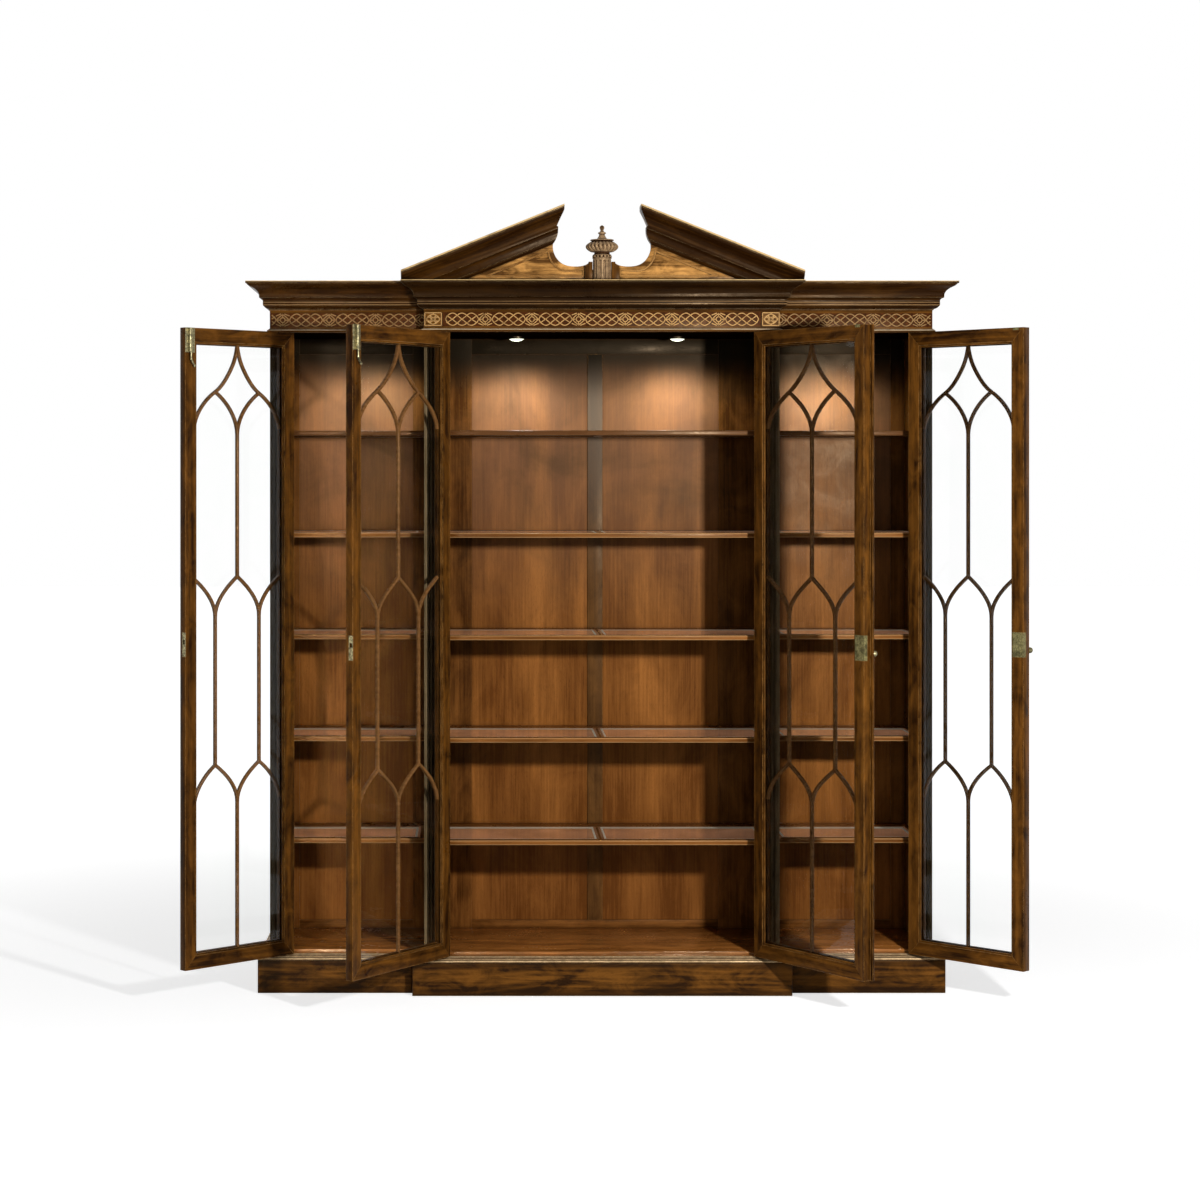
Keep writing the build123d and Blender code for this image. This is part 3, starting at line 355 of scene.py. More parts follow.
@functools.cache
def wear_and_highlight_group():
    """A mask that is 1 on arrises: wear where hands and cloths have rubbed, and painted highlights
    along the edges.
    """
    tree, given, out = group(
        "Rubbed edges and painted highlights", "ShaderNodeTree", {"Radius": 0.003, "Amount": 1.0, "Vector": "Vector"},
        {"Mask": "Float"},
    )
    rounded = wire(tree, "ShaderNodeBevel", {"Radius": given["Radius"]}, samples=4)
    dot = wire(
        tree, "ShaderNodeVectorMath", {0: rounded, 1: facing(tree)}, "Value",
        operation="DOT_PRODUCT",
    )
    patchy = between(noise(given["Vector"], 28.0, 4.0, 0.7), 0.34, 0.60)
    masked = between(dot, 0.985, 0.86) * patchy * given["Amount"]
    fill(out, {"Mask": masked.maths("MINIMUM", 1.0)})
    return tree


@functools.cache
def hollow_dirt_and_shade_group():
    """A mask that is 1 in quirks and hollows: wax, dust and tarnish gather there, and the mask also
    paints the shade that falls there.
    """
    tree, given, out = group(
        "Waxed hollows and painted shade", "ShaderNodeTree", {"Distance": 0.012, "Low": 0.35, "High": 0.85},
        {"Mask": "Float"},
    )
    sky = wire(tree, "ShaderNodeAmbientOcclusion", {"Distance": given["Distance"]}, "AO", samples=6)
    fill(out, {"Mask": between(sky, given["High"], given["Low"])})
    return tree


@functools.cache
def polish_group():
    """Polish: uneven roughness with rubbed and smeared places."""
    tree, given, out = group(
        "Hand polish", "ShaderNodeTree", {"Vector": "Vector", "Low": 0.25, "High": 0.5},
        {"Roughness": "Float"},
    )
    cloudy = noise(given["Vector"], 9.0, 4.0, 0.6, 0.6)
    fine = noise(given["Vector"], 160.0, 2.0, 0.5)
    both = cloudy * 0.8 + fine * 0.2
    fill(out, {"Roughness": between(both, 0.3, 0.7, given["Low"], given["High"])})
    return tree


def effect(tree, maker, **inputs):
    """The outputs of a shared group, placed in a material with its own values."""
    return [Wire(s) for s in add(tree, "ShaderNodeGroup", inputs, node_tree=maker()).outputs]


# ---- layers: each changes a base colour at a place ------------------------------------------


def highlight_and_shade_lines(place, base, levels, half, tint, slope=0.0):
    """Lines at given heights on upright faces, used as painted highlights along arrises and fillets
    and as painted shade in quirks.
    """
    along, _, up = axes_of(place)
    height = up + abs(along) * slope
    found = 0.0
    for level in levels:
        found = between(abs(height - level), half, half * 0.4).maths("MAXIMUM", found)
    upright = between(upward(place.tree), 0.92, 0.7)
    kept = between(noise(place, 26.0, 3.0, 0.6), 0.2, 0.5, 0.35, 1.0)
    return mix(found * upright * kept, base, tint)


def banded(place, base, low, high, tint):
    """Another colour between two heights."""
    height = axes_of(place)[2]
    inside = height.maths("GREATER_THAN", low) * height.maths("LESS_THAN", high)
    cloud = between(noise(place, 90.0, 4.0, 0.6), 0.3, 0.7)
    return mix(inside, base, mix(cloud, scaled(tint, 0.35), tint))


def faded(place, base, low, high, tint, amount):
    """The colour changes slowly from one height to another."""
    return mix(between(axes_of(place)[2], low, high, 0.0, amount), base, tint)


def set_back_shade(place, base, depth, tint, amount):
    """Painted shade: duller where the face lies further back, as on the wings."""
    return mix(axes_of(place)[1].maths("GREATER_THAN", depth) * amount, base, tint)


def shade_clouds(place, base, low, high, tint, amount):
    """Clouds of painted shade that grow from one height to another."""
    drift = noise(stretched(place, (2.4, 2.4, 3.4)), 1.0, 5.0, 0.62, 0.8)
    cloud = between(drift, 0.36, 0.74) * between(axes_of(place)[2], low, high)
    return mix(cloud * amount, base, tint)


def nosing_highlights(place, base, tint, amount):
    """Painted highlights on the round arrises above and below a darker middle."""
    up = upward(place.tree)
    return mix(between(up, 0.15, 0.45) * between(up, 0.97, 0.8) * amount, base, tint)


def layered(place, base, layers):
    """A base colour under layers, each given as its function and the values it takes."""
    for layer, *values in layers:
        base = layer(place, base, *values)
    return base


# ---- materials ------------------------------------------------------------------------------


def material(name):
    """A material with its tree and its Principled shader."""
    made = bpy.data.materials.new(name)
    made.use_nodes = True
    return made, made.node_tree, made.node_tree.nodes["Principled BSDF"]


def ended_by(tree, surface):
    """Ends a material with another surface than its Principled shader."""
    fill(tree.nodes["Material Output"], {"Surface": surface})


def timber(
    name, light, dark, edge, rings=55.0, mottle=0.35, polish=(0.25, 0.5), wear=0.7,
    wear_radius=3.0 * MM, hollow=0.5, on_boards=True, gloss=0.07, knots=0.2, patch=1.0, layers=(),
):
    """Polished wood: grain along each board, rubbed edges that also carry painted highlights,
    quirks darkened by dirt and by painted shade, and uneven polish.
    """
    made, tree, shader = material(name)
    place = vector = own_place(tree)
    if on_boards:
        vector = wire(tree, "ShaderNodeAttribute", output="Vector", attribute_name="grain")
    base, height = effect(
        tree, grain_group, Vector=vector, Light=rgba(light), Dark=rgba(dark), Rings=rings,
        Tone=wire(tree, "ShaderNodeAttribute", output="Fac", attribute_name="tone"),
        Mottle=mottle, Knots=knots, Patch=patch,
    )
    rubbed, = effect(tree, wear_and_highlight_group, Radius=wear_radius, Amount=wear, Vector=place)
    waxed_and_shaded, = effect(tree, hollow_dirt_and_shade_group, Distance=14 * MM)
    rough, = effect(tree, polish_group, Vector=vector, Low=polish[0], High=polish[1])
    # Rubbed edges take the edge colour: wear, and also painted highlights along the arrises.
    worn = mix(rubbed, layered(place, base, layers), edge)
    fill(shader, {
        # Hollows darken with wax and dust, and with painted shade.
        "Base Color": mix(waxed_and_shaded * hollow, worn, scaled(dark, 0.35)),
        "Roughness": rough,
        "Normal": bumped(height, 0.25, 0.25 * MM),
        "Specular IOR Level": gloss,
        "Specular Tint": WARM_SHEEN,
    })
    return made


def gilded(name, gilt, dark, low=0.30, high=0.80, reach=7 * MM, metal=0.35, crest=None, layers=()):
    """Carved wood whose ridges keep rubbed gilding over a dark ground, darkened in the hollows by
    dirt and painted shade.
    """
    made, tree, shader = material(name)
    place = own_place(tree)
    # The hollows darken with dirt and with painted shade.
    hollow, = effect(tree, hollow_dirt_and_shade_group, Distance=reach, Low=low, High=high)
    rough, = effect(tree, polish_group, Vector=place, Low=0.32, High=0.55)
    patch = noise(place, 60.0, 5.0, 0.7, 0.4)
    tint = mix(between(patch, 0.35, 0.65), scaled(gilt, 0.55), gilt)
    # The crest colour paints a highlight on faces turned to the front.
    if crest is not None:
        ridge = between(abs(axes_of(facing(tree))[1]), 0.6, 0.97)
        tint = mix(ridge * between(patch, 0.3, 0.55, 0.3, 1.0), tint, crest)
    fleck = between(noise(place, 420.0, 2.0, 0.6), 0.60, 0.72)
    tint = layered(place, mix(fleck * 0.6, tint, dark), layers)
    fill(shader, {
        "Base Color": mix(hollow, tint, dark),
        "Metallic": (1.0 - hollow) * metal,
        "Roughness": rough,
        "Normal": bumped(patch, 0.3, 0.4 * MM),
        "Specular IOR Level": 0.2,
        "Specular Tint": WARM_SHEEN,
    })
    return made


def brass(name, bright, dull, rough=(0.28, 0.5), tarnish=(0.42, 0.62), engraved=0.0):
    """Aged brass: tarnish in clouds and in hollows, engraved scrolls and fine scratches."""
    made, tree, shader = material(name)
    place = own_place(tree)
    cloud = between(noise(place, 55.0, 5.0, 0.65, 0.7), *tarnish)
    hollow, = effect(tree, hollow_dirt_and_shade_group, Distance=5 * MM)
    cells = wire(
        tree, "ShaderNodeTexVoronoi",
        {"Vector": stretched(place, (150.0, 150.0, 90.0)), "Scale": 1.0}, "Distance",
        feature="DISTANCE_TO_EDGE",
    )
    cut = between(cells, 0.16, 0.06) * engraved
    dark = cloud.maths("MAXIMUM", hollow).maths("MAXIMUM", cut)
    scratch = noise(stretched(place, (900.0, 900.0, 60.0)), 1.0, 2.0, 0.5)
    fill(shader, {
        "Base Color": mix(dark, bright, dull),
        "Metallic": 1.0,
        "Roughness": between((dark + scratch) * 0.5, 0.1, 0.9, *rough),
        "Normal": bumped(scratch * 0.3 - cut, 0.4, 0.3 * MM),
    })
    return made


def glass(name, tint, edge_tint, edge_side, glow=(0.0, 0.0, 0.0), bend=1.45, passed=0.97):
    """Clear plate that lets light through to what is behind it, with tinted edges."""
    made, tree, shader = material(name)
    up = upward(tree)
    edge = between(up, 0.6, 0.4) if edge_side else up.maths("GREATER_THAN", 0.6)
    smear = noise(own_place(tree), 5.0, 3.0, 0.6, 0.5)
    clear = mix(between(smear, 0.35, 0.7), tint, WHITE)
    fill(shader, {
        "Base Color": mix(edge, clear, edge_tint),
        "Roughness": between(smear, 0.45, 0.75, 0.0, 0.04),
        "Transmission Weight": 1.0,
        "IOR": bend,
    })
    # The glow paints a reflection on the plate's face.
    if any(glow):
        painted_reflection = mix(between(smear, 0.3, 0.7), scaled(glow, 0.6), glow)
        fill(shader, {"Emission Color": painted_reflection, "Emission Strength": 1.0})
    bounce = wire(tree, "ShaderNodeFresnel", {"IOR": 1.45})
    through = mix(bounce, [passed] * 3, BLACK)
    passing = any_ray(tree, "Shadow", "Diffuse")
    open_way = wire(tree, "ShaderNodeBsdfTransparent", {"Color": through})
    ended_by(tree, wire(
        tree, "ShaderNodeMixShader", {0: passing, 1: Wire(shader.outputs[0]), 2: open_way}
    ))
    return made


def glass_border(name, tint):
    """Ground and bevelled border of a plate, cloudy and pale green, with a faint glow that paints
    the light its edges gather.
    """
    made, tree, shader = material(name)
    cloud = noise(stretched(own_place(tree), (3.0, 60.0, 60.0)), 1.0, 4.0, 0.6)
    pale = mix(between(cloud, 0.3, 0.7), scaled(tint, 0.6), tint)
    fill(shader, {
        "Base Color": pale,
        "Emission Color": pale,
        "Emission Strength": 0.12,
        "Roughness": between(cloud, 0.3, 0.7, 0.08, 0.25),
    })
    return made


def frosted(name, pale, bright, rim_tint, strength):
    """Frosted lamp glass, brightest in the middle of its prisms."""
    made, tree, shader = material(name)
    prisms = noise(own_place(tree), 700.0, 2.0, 0.5)
    tint = mix(between(prisms, 0.3, 0.7, 0.8, 1.0), pale, bright)
    rim = wire(tree, "ShaderNodeLayerWeight", {"Blend": 0.3}, "Facing")
    fill(shader, {
        "Base Color": tint,
        "Emission Color": mix(rim, tint, rim_tint),
        "Emission Strength": strength,
        "Roughness": between(prisms, 0.3, 0.7, 0.3, 0.6),
    })
    return made


def rake_line():
    """The slope of the rakes, and the height that their top edges would reach in the middle."""
    slope = math.tan(bpy.context.scene.bookcase_carving.slope)
    corners = [v.co for v in frame["nodes"]["pediment_rakes"].data.vertices]
    return slope, max(c.z + abs(c.x) * slope for c in corners)


@functools.cache
def looks():
    """Every finish: its maker, its colours and its other settings."""
    woods = bpy.context.scene.bookcase_woods
    edge, light, dark = tuple(woods.edge), tuple(woods.case_light), tuple(woods.case_dark)
    back, back_dark = tuple(woods.back_light), tuple(woods.back_dark)
    crown_low, crown_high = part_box("cornice_moulding")
    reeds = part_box("base_moulding")[0]
    bead_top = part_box("frieze_bead")[1].z
    slope, rake_top = rake_line()
    # These colours serve rubbed edges and the lines of painted highlight.
    crown_gilt_and_highlight = (0.62, 0.42, 0.19)
    rubbed_gilt_and_highlight = (0.50, 0.36, 0.20)
    foot_shade = (0.012, 0.004, 0.001)
    top_shade = (faded, 1.83, 1.985, (0.009, 0.007, 0.004), 0.97)
    crown = {"mottle": 0.75, "polish": (0.22, 0.42), "wear_radius": 2.0 * MM}
    # A painted highlight along the crown's top arris, and painted highlights on the fillets near
    # its foot.
    top_line = (highlight_and_shade_lines, [crown_high.z - 1 * MM], 1.7 * MM, crown_gilt_and_highlight)
    foot_lines = (highlight_and_shade_lines, [crown_low.z + 23 * MM, crown_low.z + 15 * MM], 0.9 * MM)
    return {
        "case": (timber, light, dark, edge, {"mottle": 0.7}),
        "door": (
            timber, light, dark, edge, {"rings": 40.0, "mottle": 1.1, "patch": 1.6, "wear": 1.0}
        ),
        "bars": (
            timber, (0.34, 0.155, 0.050), (0.16, 0.066, 0.018), edge,
            {"on_boards": False, "mottle": 0.15, "wear": 0.0, "polish": (0.2, 0.32),
             "hollow": 0.3, "gloss": 0.12},
        ),
        "frieze": (
            timber, scaled(light, 1.2), dark, edge,
            {"layers": [(banded, FRET_LOW.z, FRET_HIGH.z, (0.075, 0.020, 0.004))]},
        ),
        "moulding": (
            timber, scaled(light, 0.5), dark, crown_gilt_and_highlight,
            {**crown, "wear": 0.5, "hollow": 0.9,
             "layers": [top_line, (*foot_lines, (0.34, 0.20, 0.08))]},
        ),
        "centre_moulding": (
            timber, scaled(light, 0.18), scaled(dark, 0.5), crown_gilt_and_highlight,
            {**crown, "wear": 0.25, "hollow": 0.95,
             "layers": [top_line, (*foot_lines, (0.30, 0.17, 0.07))]},
        ),
        "raking": (
            timber, scaled(light, 0.5), dark, crown_gilt_and_highlight,
            {**crown, "wear": 0.5, "hollow": 0.9,
             # A painted highlight along the top arris of the rakes.
             "layers": [(highlight_and_shade_lines, [rake_top - 2 * MM], 4.5 * MM, crown_gilt_and_highlight, slope)]},
        ),
        "plinth": (
            timber, scaled(light, 1.15), dark, rubbed_gilt_and_highlight,
            {"mottle": 1.6, "patch": 1.3, "gloss": 0.1, "wear": 1.0,
             "layers": [
                 (faded, 0.072, 0.1, foot_shade, 0.6),
                 (faded, 0.035, 0.004, foot_shade, 0.7),
                 # A painted highlight along the plinth's bottom edge.
                 (highlight_and_shade_lines, [1.5 * MM], 2 * MM, rubbed_gilt_and_highlight),
             ]},
        ),
        # Pilaster colours raised so that they look lit where the open doors shade them: painted
        # light.
        "pilaster": (
            timber, (0.24, 0.168, 0.088), (0.09, 0.060, 0.028), (0.46, 0.35, 0.20),
            {"hollow": 0.3, "gloss": 0.03},
        ),
        "back": (
            timber, scaled(back, 0.93), scaled(back_dark, 1.2), edge,
            {"rings": 5.0, "mottle": 0.8, "wear": 0.0, "polish": (0.26, 0.45), "knots": 0.45,
             "patch": 0.5, "gloss": 0.05,
             "layers": [
                 # Painted light: the panels grow paler towards the top, under the ceiling lamps.
                 (faded, 1.0, 1.9, (0.27, 0.145, 0.085), 0.45),
                 # Painted shade: the panels grow darker towards the bottom.
                 (faded, 0.8, 0.2, (0.06, 0.018, 0.003), 0.3),
                 # Clouds of painted shade in the upper bays.
                 (shade_clouds, *SHADE_CLOUD_HEIGHTS, (0.050, 0.032, 0.016), 0.55),
                 top_shade,
             ]},
        ),
        "muntin": (
            timber, (0.125, 0.053, 0.014), (0.042, 0.017, 0.005), edge,
            {"rings": 20.0, "mottle": 1.0,
             # Painted reflection: the muntin grows paler and greyer towards the top.
             "layers": [(faded, 1.15, 1.9, (0.165, 0.125, 0.09), 0.7), top_shade]},
        ),
        "inside": (
            timber, scaled(back, 0.60), scaled(back_dark, 0.55), edge,
            {"rings": 14.0, "mottle": 0.9, "wear": 0.15,
             # Clouds of painted shade in the upper bays.
             "layers": [(shade_clouds, *SHADE_CLOUD_HEIGHTS, (0.020, 0.013, 0.006), 0.6), top_shade]},
        ),
        # The ceiling is nearly black: painted shade under the top of the case.
        "ceiling": (
            timber, scaled(light, 0.05), scaled(dark, 0.1), light, {"wear": 0.05, "gloss": 0.0}
        ),
        "shelf": (
            timber, scaled(back, 0.75), scaled(back_dark, 0.9), edge,
            {"wear": 0.2, "polish": (0.2, 0.4), "gloss": 0.12,
             "layers": [
                 # Painted highlights on the rounded arrises of the shelf nosings.
                 (nosing_highlights, (0.46, 0.25, 0.10), 0.75),
                 (faded, 1.5, 1.72, (0.075, 0.028, 0.009), 0.85),
             ]},
        ),
        "floor": (
            timber, scaled(back, 1.55), scaled(back_dark, 1.5), edge,
            {"mottle": 0.8, "polish": (0.14, 0.3), "gloss": 0.6},
        ),
        "veneer": (
            timber, scaled(woods.veneer_light, 1.75), scaled(woods.veneer_dark, 0.5), edge,
            {"rings": 18.0, "mottle": 1.3, "patch": 2.0, "wear": 0.6, "polish": (0.2, 0.38),
             "hollow": 1.0},
        ),
        "bead": (
            timber, tuple(woods.veneer_light), tuple(woods.veneer_dark), (0.55, 0.33, 0.12),
            {"wear": 1.0, "hollow": 0.8},
        ),
        "strip": (
            timber, (0.29, 0.115, 0.026), (0.10, 0.032, 0.006), edge, {"mottle": 0.5, "wear": 0.6}
        ),
        "carcass": (
            timber, (0.24, 0.15, 0.075), (0.12, 0.065, 0.028), (0.34, 0.22, 0.12),
            {"rings": 30.0, "polish": (0.5, 0.75), "wear": 0.3},
        ),
        "block": (
            timber, scaled(light, 1.3), dark, edge,
            {"on_boards": False, "hollow": 1.0, "mottle": 0.9, "patch": 3.0},
        ),
        "gilt": (
            gilded, scaled(woods.gilt, 1.15), tuple(woods.recess),
            {"low": 0.74, "high": 0.99, "reach": 5 * MM,
             # Painted shade in the quirks between the reeds.
             "layers": [(highlight_and_shade_lines, [reeds.z + level * MM for level in (1.5, 6.5, 11.0)], 1.5 * MM,
                         (0.10, 0.042, 0.012))]},
        ),
        "rail_gilt": (
            timber, scaled(light, 0.7), dark, rubbed_gilt_and_highlight,
            {"wear": 0.5,
             # A painted highlight along the frieze bead.
             "layers": [(highlight_and_shade_lines, [bead_top - 3.4 * MM], 2.4 * MM, (0.72, 0.56, 0.36))]},
        ),
        "fret": (
            gilded, (0.16, 0.066, 0.016), tuple(woods.recess),
            {"low": 0.45, "high": 0.93, "reach": 6 * MM, "metal": 0.0,
             # A painted highlight on the crests of the strands.
             "crest": (0.48, 0.272, 0.094),
             # Painted shade on the wings' fret, which lies further back.
             "layers": [(set_back_shade, FRIEZE_FACE.y + FRET_STEP / 2, (0.05, 0.022, 0.007), 0.5)]},
        ),
        "urn": (
            gilded, (0.41, 0.262, 0.135), (0.030, 0.010, 0.003),
            {"low": 0.66, "high": 0.98, "reach": 12 * MM, "metal": 0.1},
        ),
        "brass": (
            brass, (0.44, 0.38, 0.20), (0.09, 0.08, 0.045), {"rough": (0.3, 0.55), "engraved": 0.8}
        ),
        "lock": (
            brass, (0.30, 0.26, 0.11), (0.09, 0.078, 0.035), {"rough": (0.4, 0.62), "engraved": 0.6}
        ),
        "hinge": (brass, (0.50, 0.38, 0.17), (0.12, 0.085, 0.035), {}),
        "ring": (brass, (0.05, 0.04, 0.025), (0.02, 0.014, 0.008), {}),
        "pane": (glass, (0.985, 0.995, 0.988), (0.55, 0.75, 0.66), False, {"bend": 1.2}),
        "shelf_glass": (
            glass, (0.97, 0.99, 0.975), (0.62, 0.86, 0.76), True,
            # The glow paints the reflection of the back panels in the shelf glass.
            {"glow": (0.075, 0.036, 0.02), "passed": 0.65},
        ),
        "glass_border": (glass_border, (0.70, 0.68, 0.55), {}),
        "lens": (
            frosted, (0.80, 0.90, 0.66), (1.0, 1.0, 0.94), (0.78, 0.86, 0.56), {"strength": 3.0}
        ),
    }


@functools.cache
def finish_of(name):
    maker, *values, settings = looks()[name]
    return maker(name, *values, **settings)


# ---- pieces ---------------------------------------------------------------------------------


def linked(name, data):
    """An object at the origin, in the scene."""
    made = bpy.data.objects.new(name, data)
    bpy.context.scene.collection.objects.link(made)
    return made


def meshed(name, shape, *finishes):
    """Turns a bmesh into a mesh with its finishes."""
    mesh = bpy.data.meshes.new(name)
    shape.to_mesh(mesh)
    shape.free()
    for finish in finishes:
        mesh.materials.append(finish_of(finish))
    return mesh


def seated(piece, body, slot, *nodes):
    """Puts a finished piece on its body and hides the nodes it stands for. The slot is not used."""
    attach(piece, body)
    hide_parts(*nodes)


def extent(points):
    """The low and the high corner of some points."""
    low, high = (Vector([pick(p[k] for p in points) for k in range(3)]) for pick in (min, max))
    return low, high


def solids_of(node):
    """The polygons of each solid of a CAD node. One solid ends where its edges are all paired."""
    mesh = frame["nodes"][node].data
    places = np.array([v.co for v in mesh.vertices])
    seen = {}
    ids = [seen.setdefault(tuple(p), len(seen)) for p in np.round(places * 1e6).astype(int)]
    found = []
    faces = []
    unpaired = set()
    for polygon in mesh.polygons:
        corners = [ids[v] for v in polygon.vertices]
        faces.append([mesh.vertices[v].co.copy() for v in polygon.vertices])
        for a, b in zip(corners, corners[1:] + corners[:1]):
            if (b, a) in unpaired:
                unpaired.remove((b, a))
            elif a != b:
                unpaired.add((a, b))
        if not unpaired:
            found.append(faces)
            faces = []
    if faces:
        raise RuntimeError(f"{node} has a solid that doesn't close")
    return found


def softened(faces, bevel):
    """A solid as one closed mesh with its flat faces whole and its arrises eased."""
    shape = bmesh.new()
    for corners in faces:
        shape.faces.new([shape.verts.new(c) for c in corners])
    bmesh.ops.remove_doubles(shape, verts=shape.verts, dist=WELD)
    bmesh.ops.dissolve_limit(shape, angle_limit=FLAT, verts=shape.verts, edges=shape.edges)
    shape.normal_update()
    if bevel:
        sharp = [
            e
            for e in shape.edges
            if e.is_manifold and e.is_convex and e.calc_face_angle() > ARRIS
        ]
        bmesh.ops.bevel(
            shape, geom=sharp, offset=bevel, segments=2, profile=0.5, affect="EDGES",
            clamp_overlap=True, loop_slide=True,
        )
    return shape


def board_axes(points, turn, leaning):
    """Unit axes along, across and through a board."""
    if leaning:
        return np.linalg.svd(points - points.mean(0), full_matrices=False)[2]
    c, s = math.cos(turn), math.sin(turn)
    axes = np.array([[c, s, 0.0], [-s, c, 0.0], [0.0, 0.0, 1.0]])
    return axes[np.argsort(-np.ptp(points @ axes.T, axis=0))]


def thin(size, middle):
    return min(size) < STRIP_THICKNESS


def central(size, middle):
    """Picks the lengths of the middle bay."""
    return abs(middle.x) < CENTRE_REACH


def middle_upright(size, middle):
    return abs(middle.x) < 50 * MM and 0.5 < middle.z < 1.6


def dressed(node, finish, slot, bevel=0.8 * MM, turn=0.0, leaning=False, lift=0.0, other=None,
            chosen=thin):
    """A copy of a CAD node with eased arrises and a grain that runs along each of its boards.

    The solids that chosen picks take the other finish.
    """
    draw = random.Random(node)
    whole = bmesh.new()
    grain = whole.verts.layers.float_vector.new("grain")
    tone = whole.verts.layers.float.new("tone")
    for faces in solids_of(node):
        shape = softened(faces, bevel)
        points = np.array([v.co for v in shape.verts])
        axes = board_axes(points, turn, leaning)
        offset = Vector((draw.uniform(0, 9), draw.uniform(0, 3), draw.uniform(0, 3)))
        shade = draw.uniform(-0.07, 0.07) + lift
        turned_way = Matrix([list(a) for a in axes])
        copies = {}
        for v in shape.verts:
            copy = whole.verts.new(v.co)
            copy[grain] = turned_way @ v.co + offset
            copy[tone] = shade
            copies[v] = copy
        size = np.ptp(points @ axes.T, axis=0)
        picked = other is not None and chosen(size, Vector(points.mean(0)))
        for f in shape.faces:
            face = whole.faces.new([copies[v] for v in f.verts])
            face.smooth = True
            face.material_index = int(picked)
        shape.free()
    mesh = meshed(f"{node}_wood", whole, *filter(None, (finish, other)))
    mesh.set_sharp_from_angle(angle=CREASE)
    seated(linked(f"{node}_wood", mesh), frame["nodes"][node]["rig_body"], slot, node)


def finished(finish, *nodes):
    """CAD nodes that keep their own shape and take a finish."""
    for node in nodes:
        for place in frame["nodes"][node].material_slots:
            place.material = finish_of(finish)


# ---- geometry trees -------------------------------------------------------------------------


def ended(geometry, given, out):
    """Ends a tree: real geometry, smooth shading and one material."""
    tree = geometry.tree
    real = wire(tree, "GeometryNodeRealizeInstances", {0: geometry})
    shaded = wire(tree, "GeometryNodeSetShadeSmooth", {"Geometry": real, "Shade Smooth": True})
    skin = {"Geometry": shaded, "Material": given["Material"]}
    fill(out, {"Geometry": wire(tree, "GeometryNodeSetMaterial", skin)})
    return tree


@functools.cache
def swept_tree():
    """A rounded bar along every line of a curve, repeated at a pitch."""
    tree, given, out = group(
        "Repeated bars", "GeometryNodeTree",
        {"Geometry": "Geometry", "Facing": "Vector", "Width": "Float", "Depth": "Float",
         "Rounding": "Float", "Repeats": "Int", "Pitch": "Vector", "Material": "Material"},
        {"Geometry": "Geometry"},
    )
    upright = wire(
        tree, "GeometryNodeSetCurveNormal",
        {"Curve": given["Geometry"], "Normal": given["Facing"]}, mode="FREE",
    )
    quad = wire(
        tree, "GeometryNodeCurvePrimitiveQuadrilateral",
        {"Width": given["Width"], "Height": given["Depth"]},
    )
    outline = wire(
        tree, "GeometryNodeFilletCurve",
        {"Curve": quad, "Count": 4, "Radius": given["Rounding"], "Limit Radius": True}, mode="POLY",
    )
    bars = wire(
        tree, "GeometryNodeCurveToMesh",
        {"Curve": upright, "Profile Curve": outline, "Fill Caps": True},
    )
    row = wire(tree, "GeometryNodeMeshLine", {"Count": given["Repeats"], "Offset": given["Pitch"]})
    copies = wire(tree, "GeometryNodeInstanceOnPoints", {"Points": row, "Instance": bars})
    return ended(copies, given, out)


@functools.cache
def ring_tree():
    """Beads set in a level ring."""
    tree, given, out = group(
        "Ring of beads", "GeometryNodeTree",
        {"Geometry": "Geometry", "Count": "Int", "Ring radius": "Float", "Bead radius": "Float",
         "Centre": "Vector", "Material": "Material"},
        {"Geometry": "Geometry"},
    )
    circle = wire(
        tree, "GeometryNodeMeshCircle",
        {"Vertices": given["Count"], "Radius": given["Ring radius"]},
    )
    bead = wire(
        tree, "GeometryNodeMeshIcoSphere", {"Radius": given["Bead radius"], "Subdivisions": 3}
    )
    beads = wire(tree, "GeometryNodeInstanceOnPoints", {"Points": circle, "Instance": bead})
    moved = wire(tree, "GeometryNodeTransform", {"Geometry": beads, "Translation": given["Centre"]})
    return ended(moved, given, out)


def shaped(name, data, tree, values):
    """The plain mesh that a geometry tree makes of some data, as an object at the origin."""
    source = linked(f"{name}_source", data)
    modifier = source.modifiers.new("Shape", "NODES")
    modifier.node_group = tree
    for item in tree.interface.items_tree:
        if item.in_out == "INPUT" and item.name in values:
            modifier[item.identifier] = values[item.name]
    depsgraph = bpy.context.evaluated_depsgraph_get()
    mesh = bpy.data.meshes.new_from_object(
        source.evaluated_get(depsgraph), preserve_all_data_layers=True, depsgraph=depsgraph
    )
    bpy.data.objects.remove(source)
    if not mesh.polygons:
        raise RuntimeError(f"the tree made no faces for {name}")
    mesh.name = name
    return linked(name, mesh)


def bars_along(name, curve, finish, facing_way, width, depth, rounding, repeats=1, pitch=0.0):
    """Rounded bars of one finish along a curve, repeated at a pitch."""
    values = {
        "Facing": facing_way, "Width": width, "Depth": depth, "Rounding": rounding,
        "Repeats": repeats, "Pitch": (pitch, 0.0, 0.0), "Material": finish_of(finish),
    }
    return shaped(name, curve, swept_tree(), values)


def joined(name, pieces):
    """Several new meshes as one."""
    shape = bmesh.new()
    materials = []
    for piece in pieces:
        made = len(shape.faces)
        shape.from_mesh(piece.data)
        materials += [m for m in piece.data.materials if m not in materials]
        shape.faces.ensure_lookup_table()
        for face in shape.faces[made:]:
            face.material_index = materials.index(piece.data.materials[face.material_index])
    mesh = meshed(name, shape)
    for m in materials:
        mesh.materials.append(m)
    for piece in pieces:
        bpy.data.objects.remove(piece)
    return linked(name, mesh)


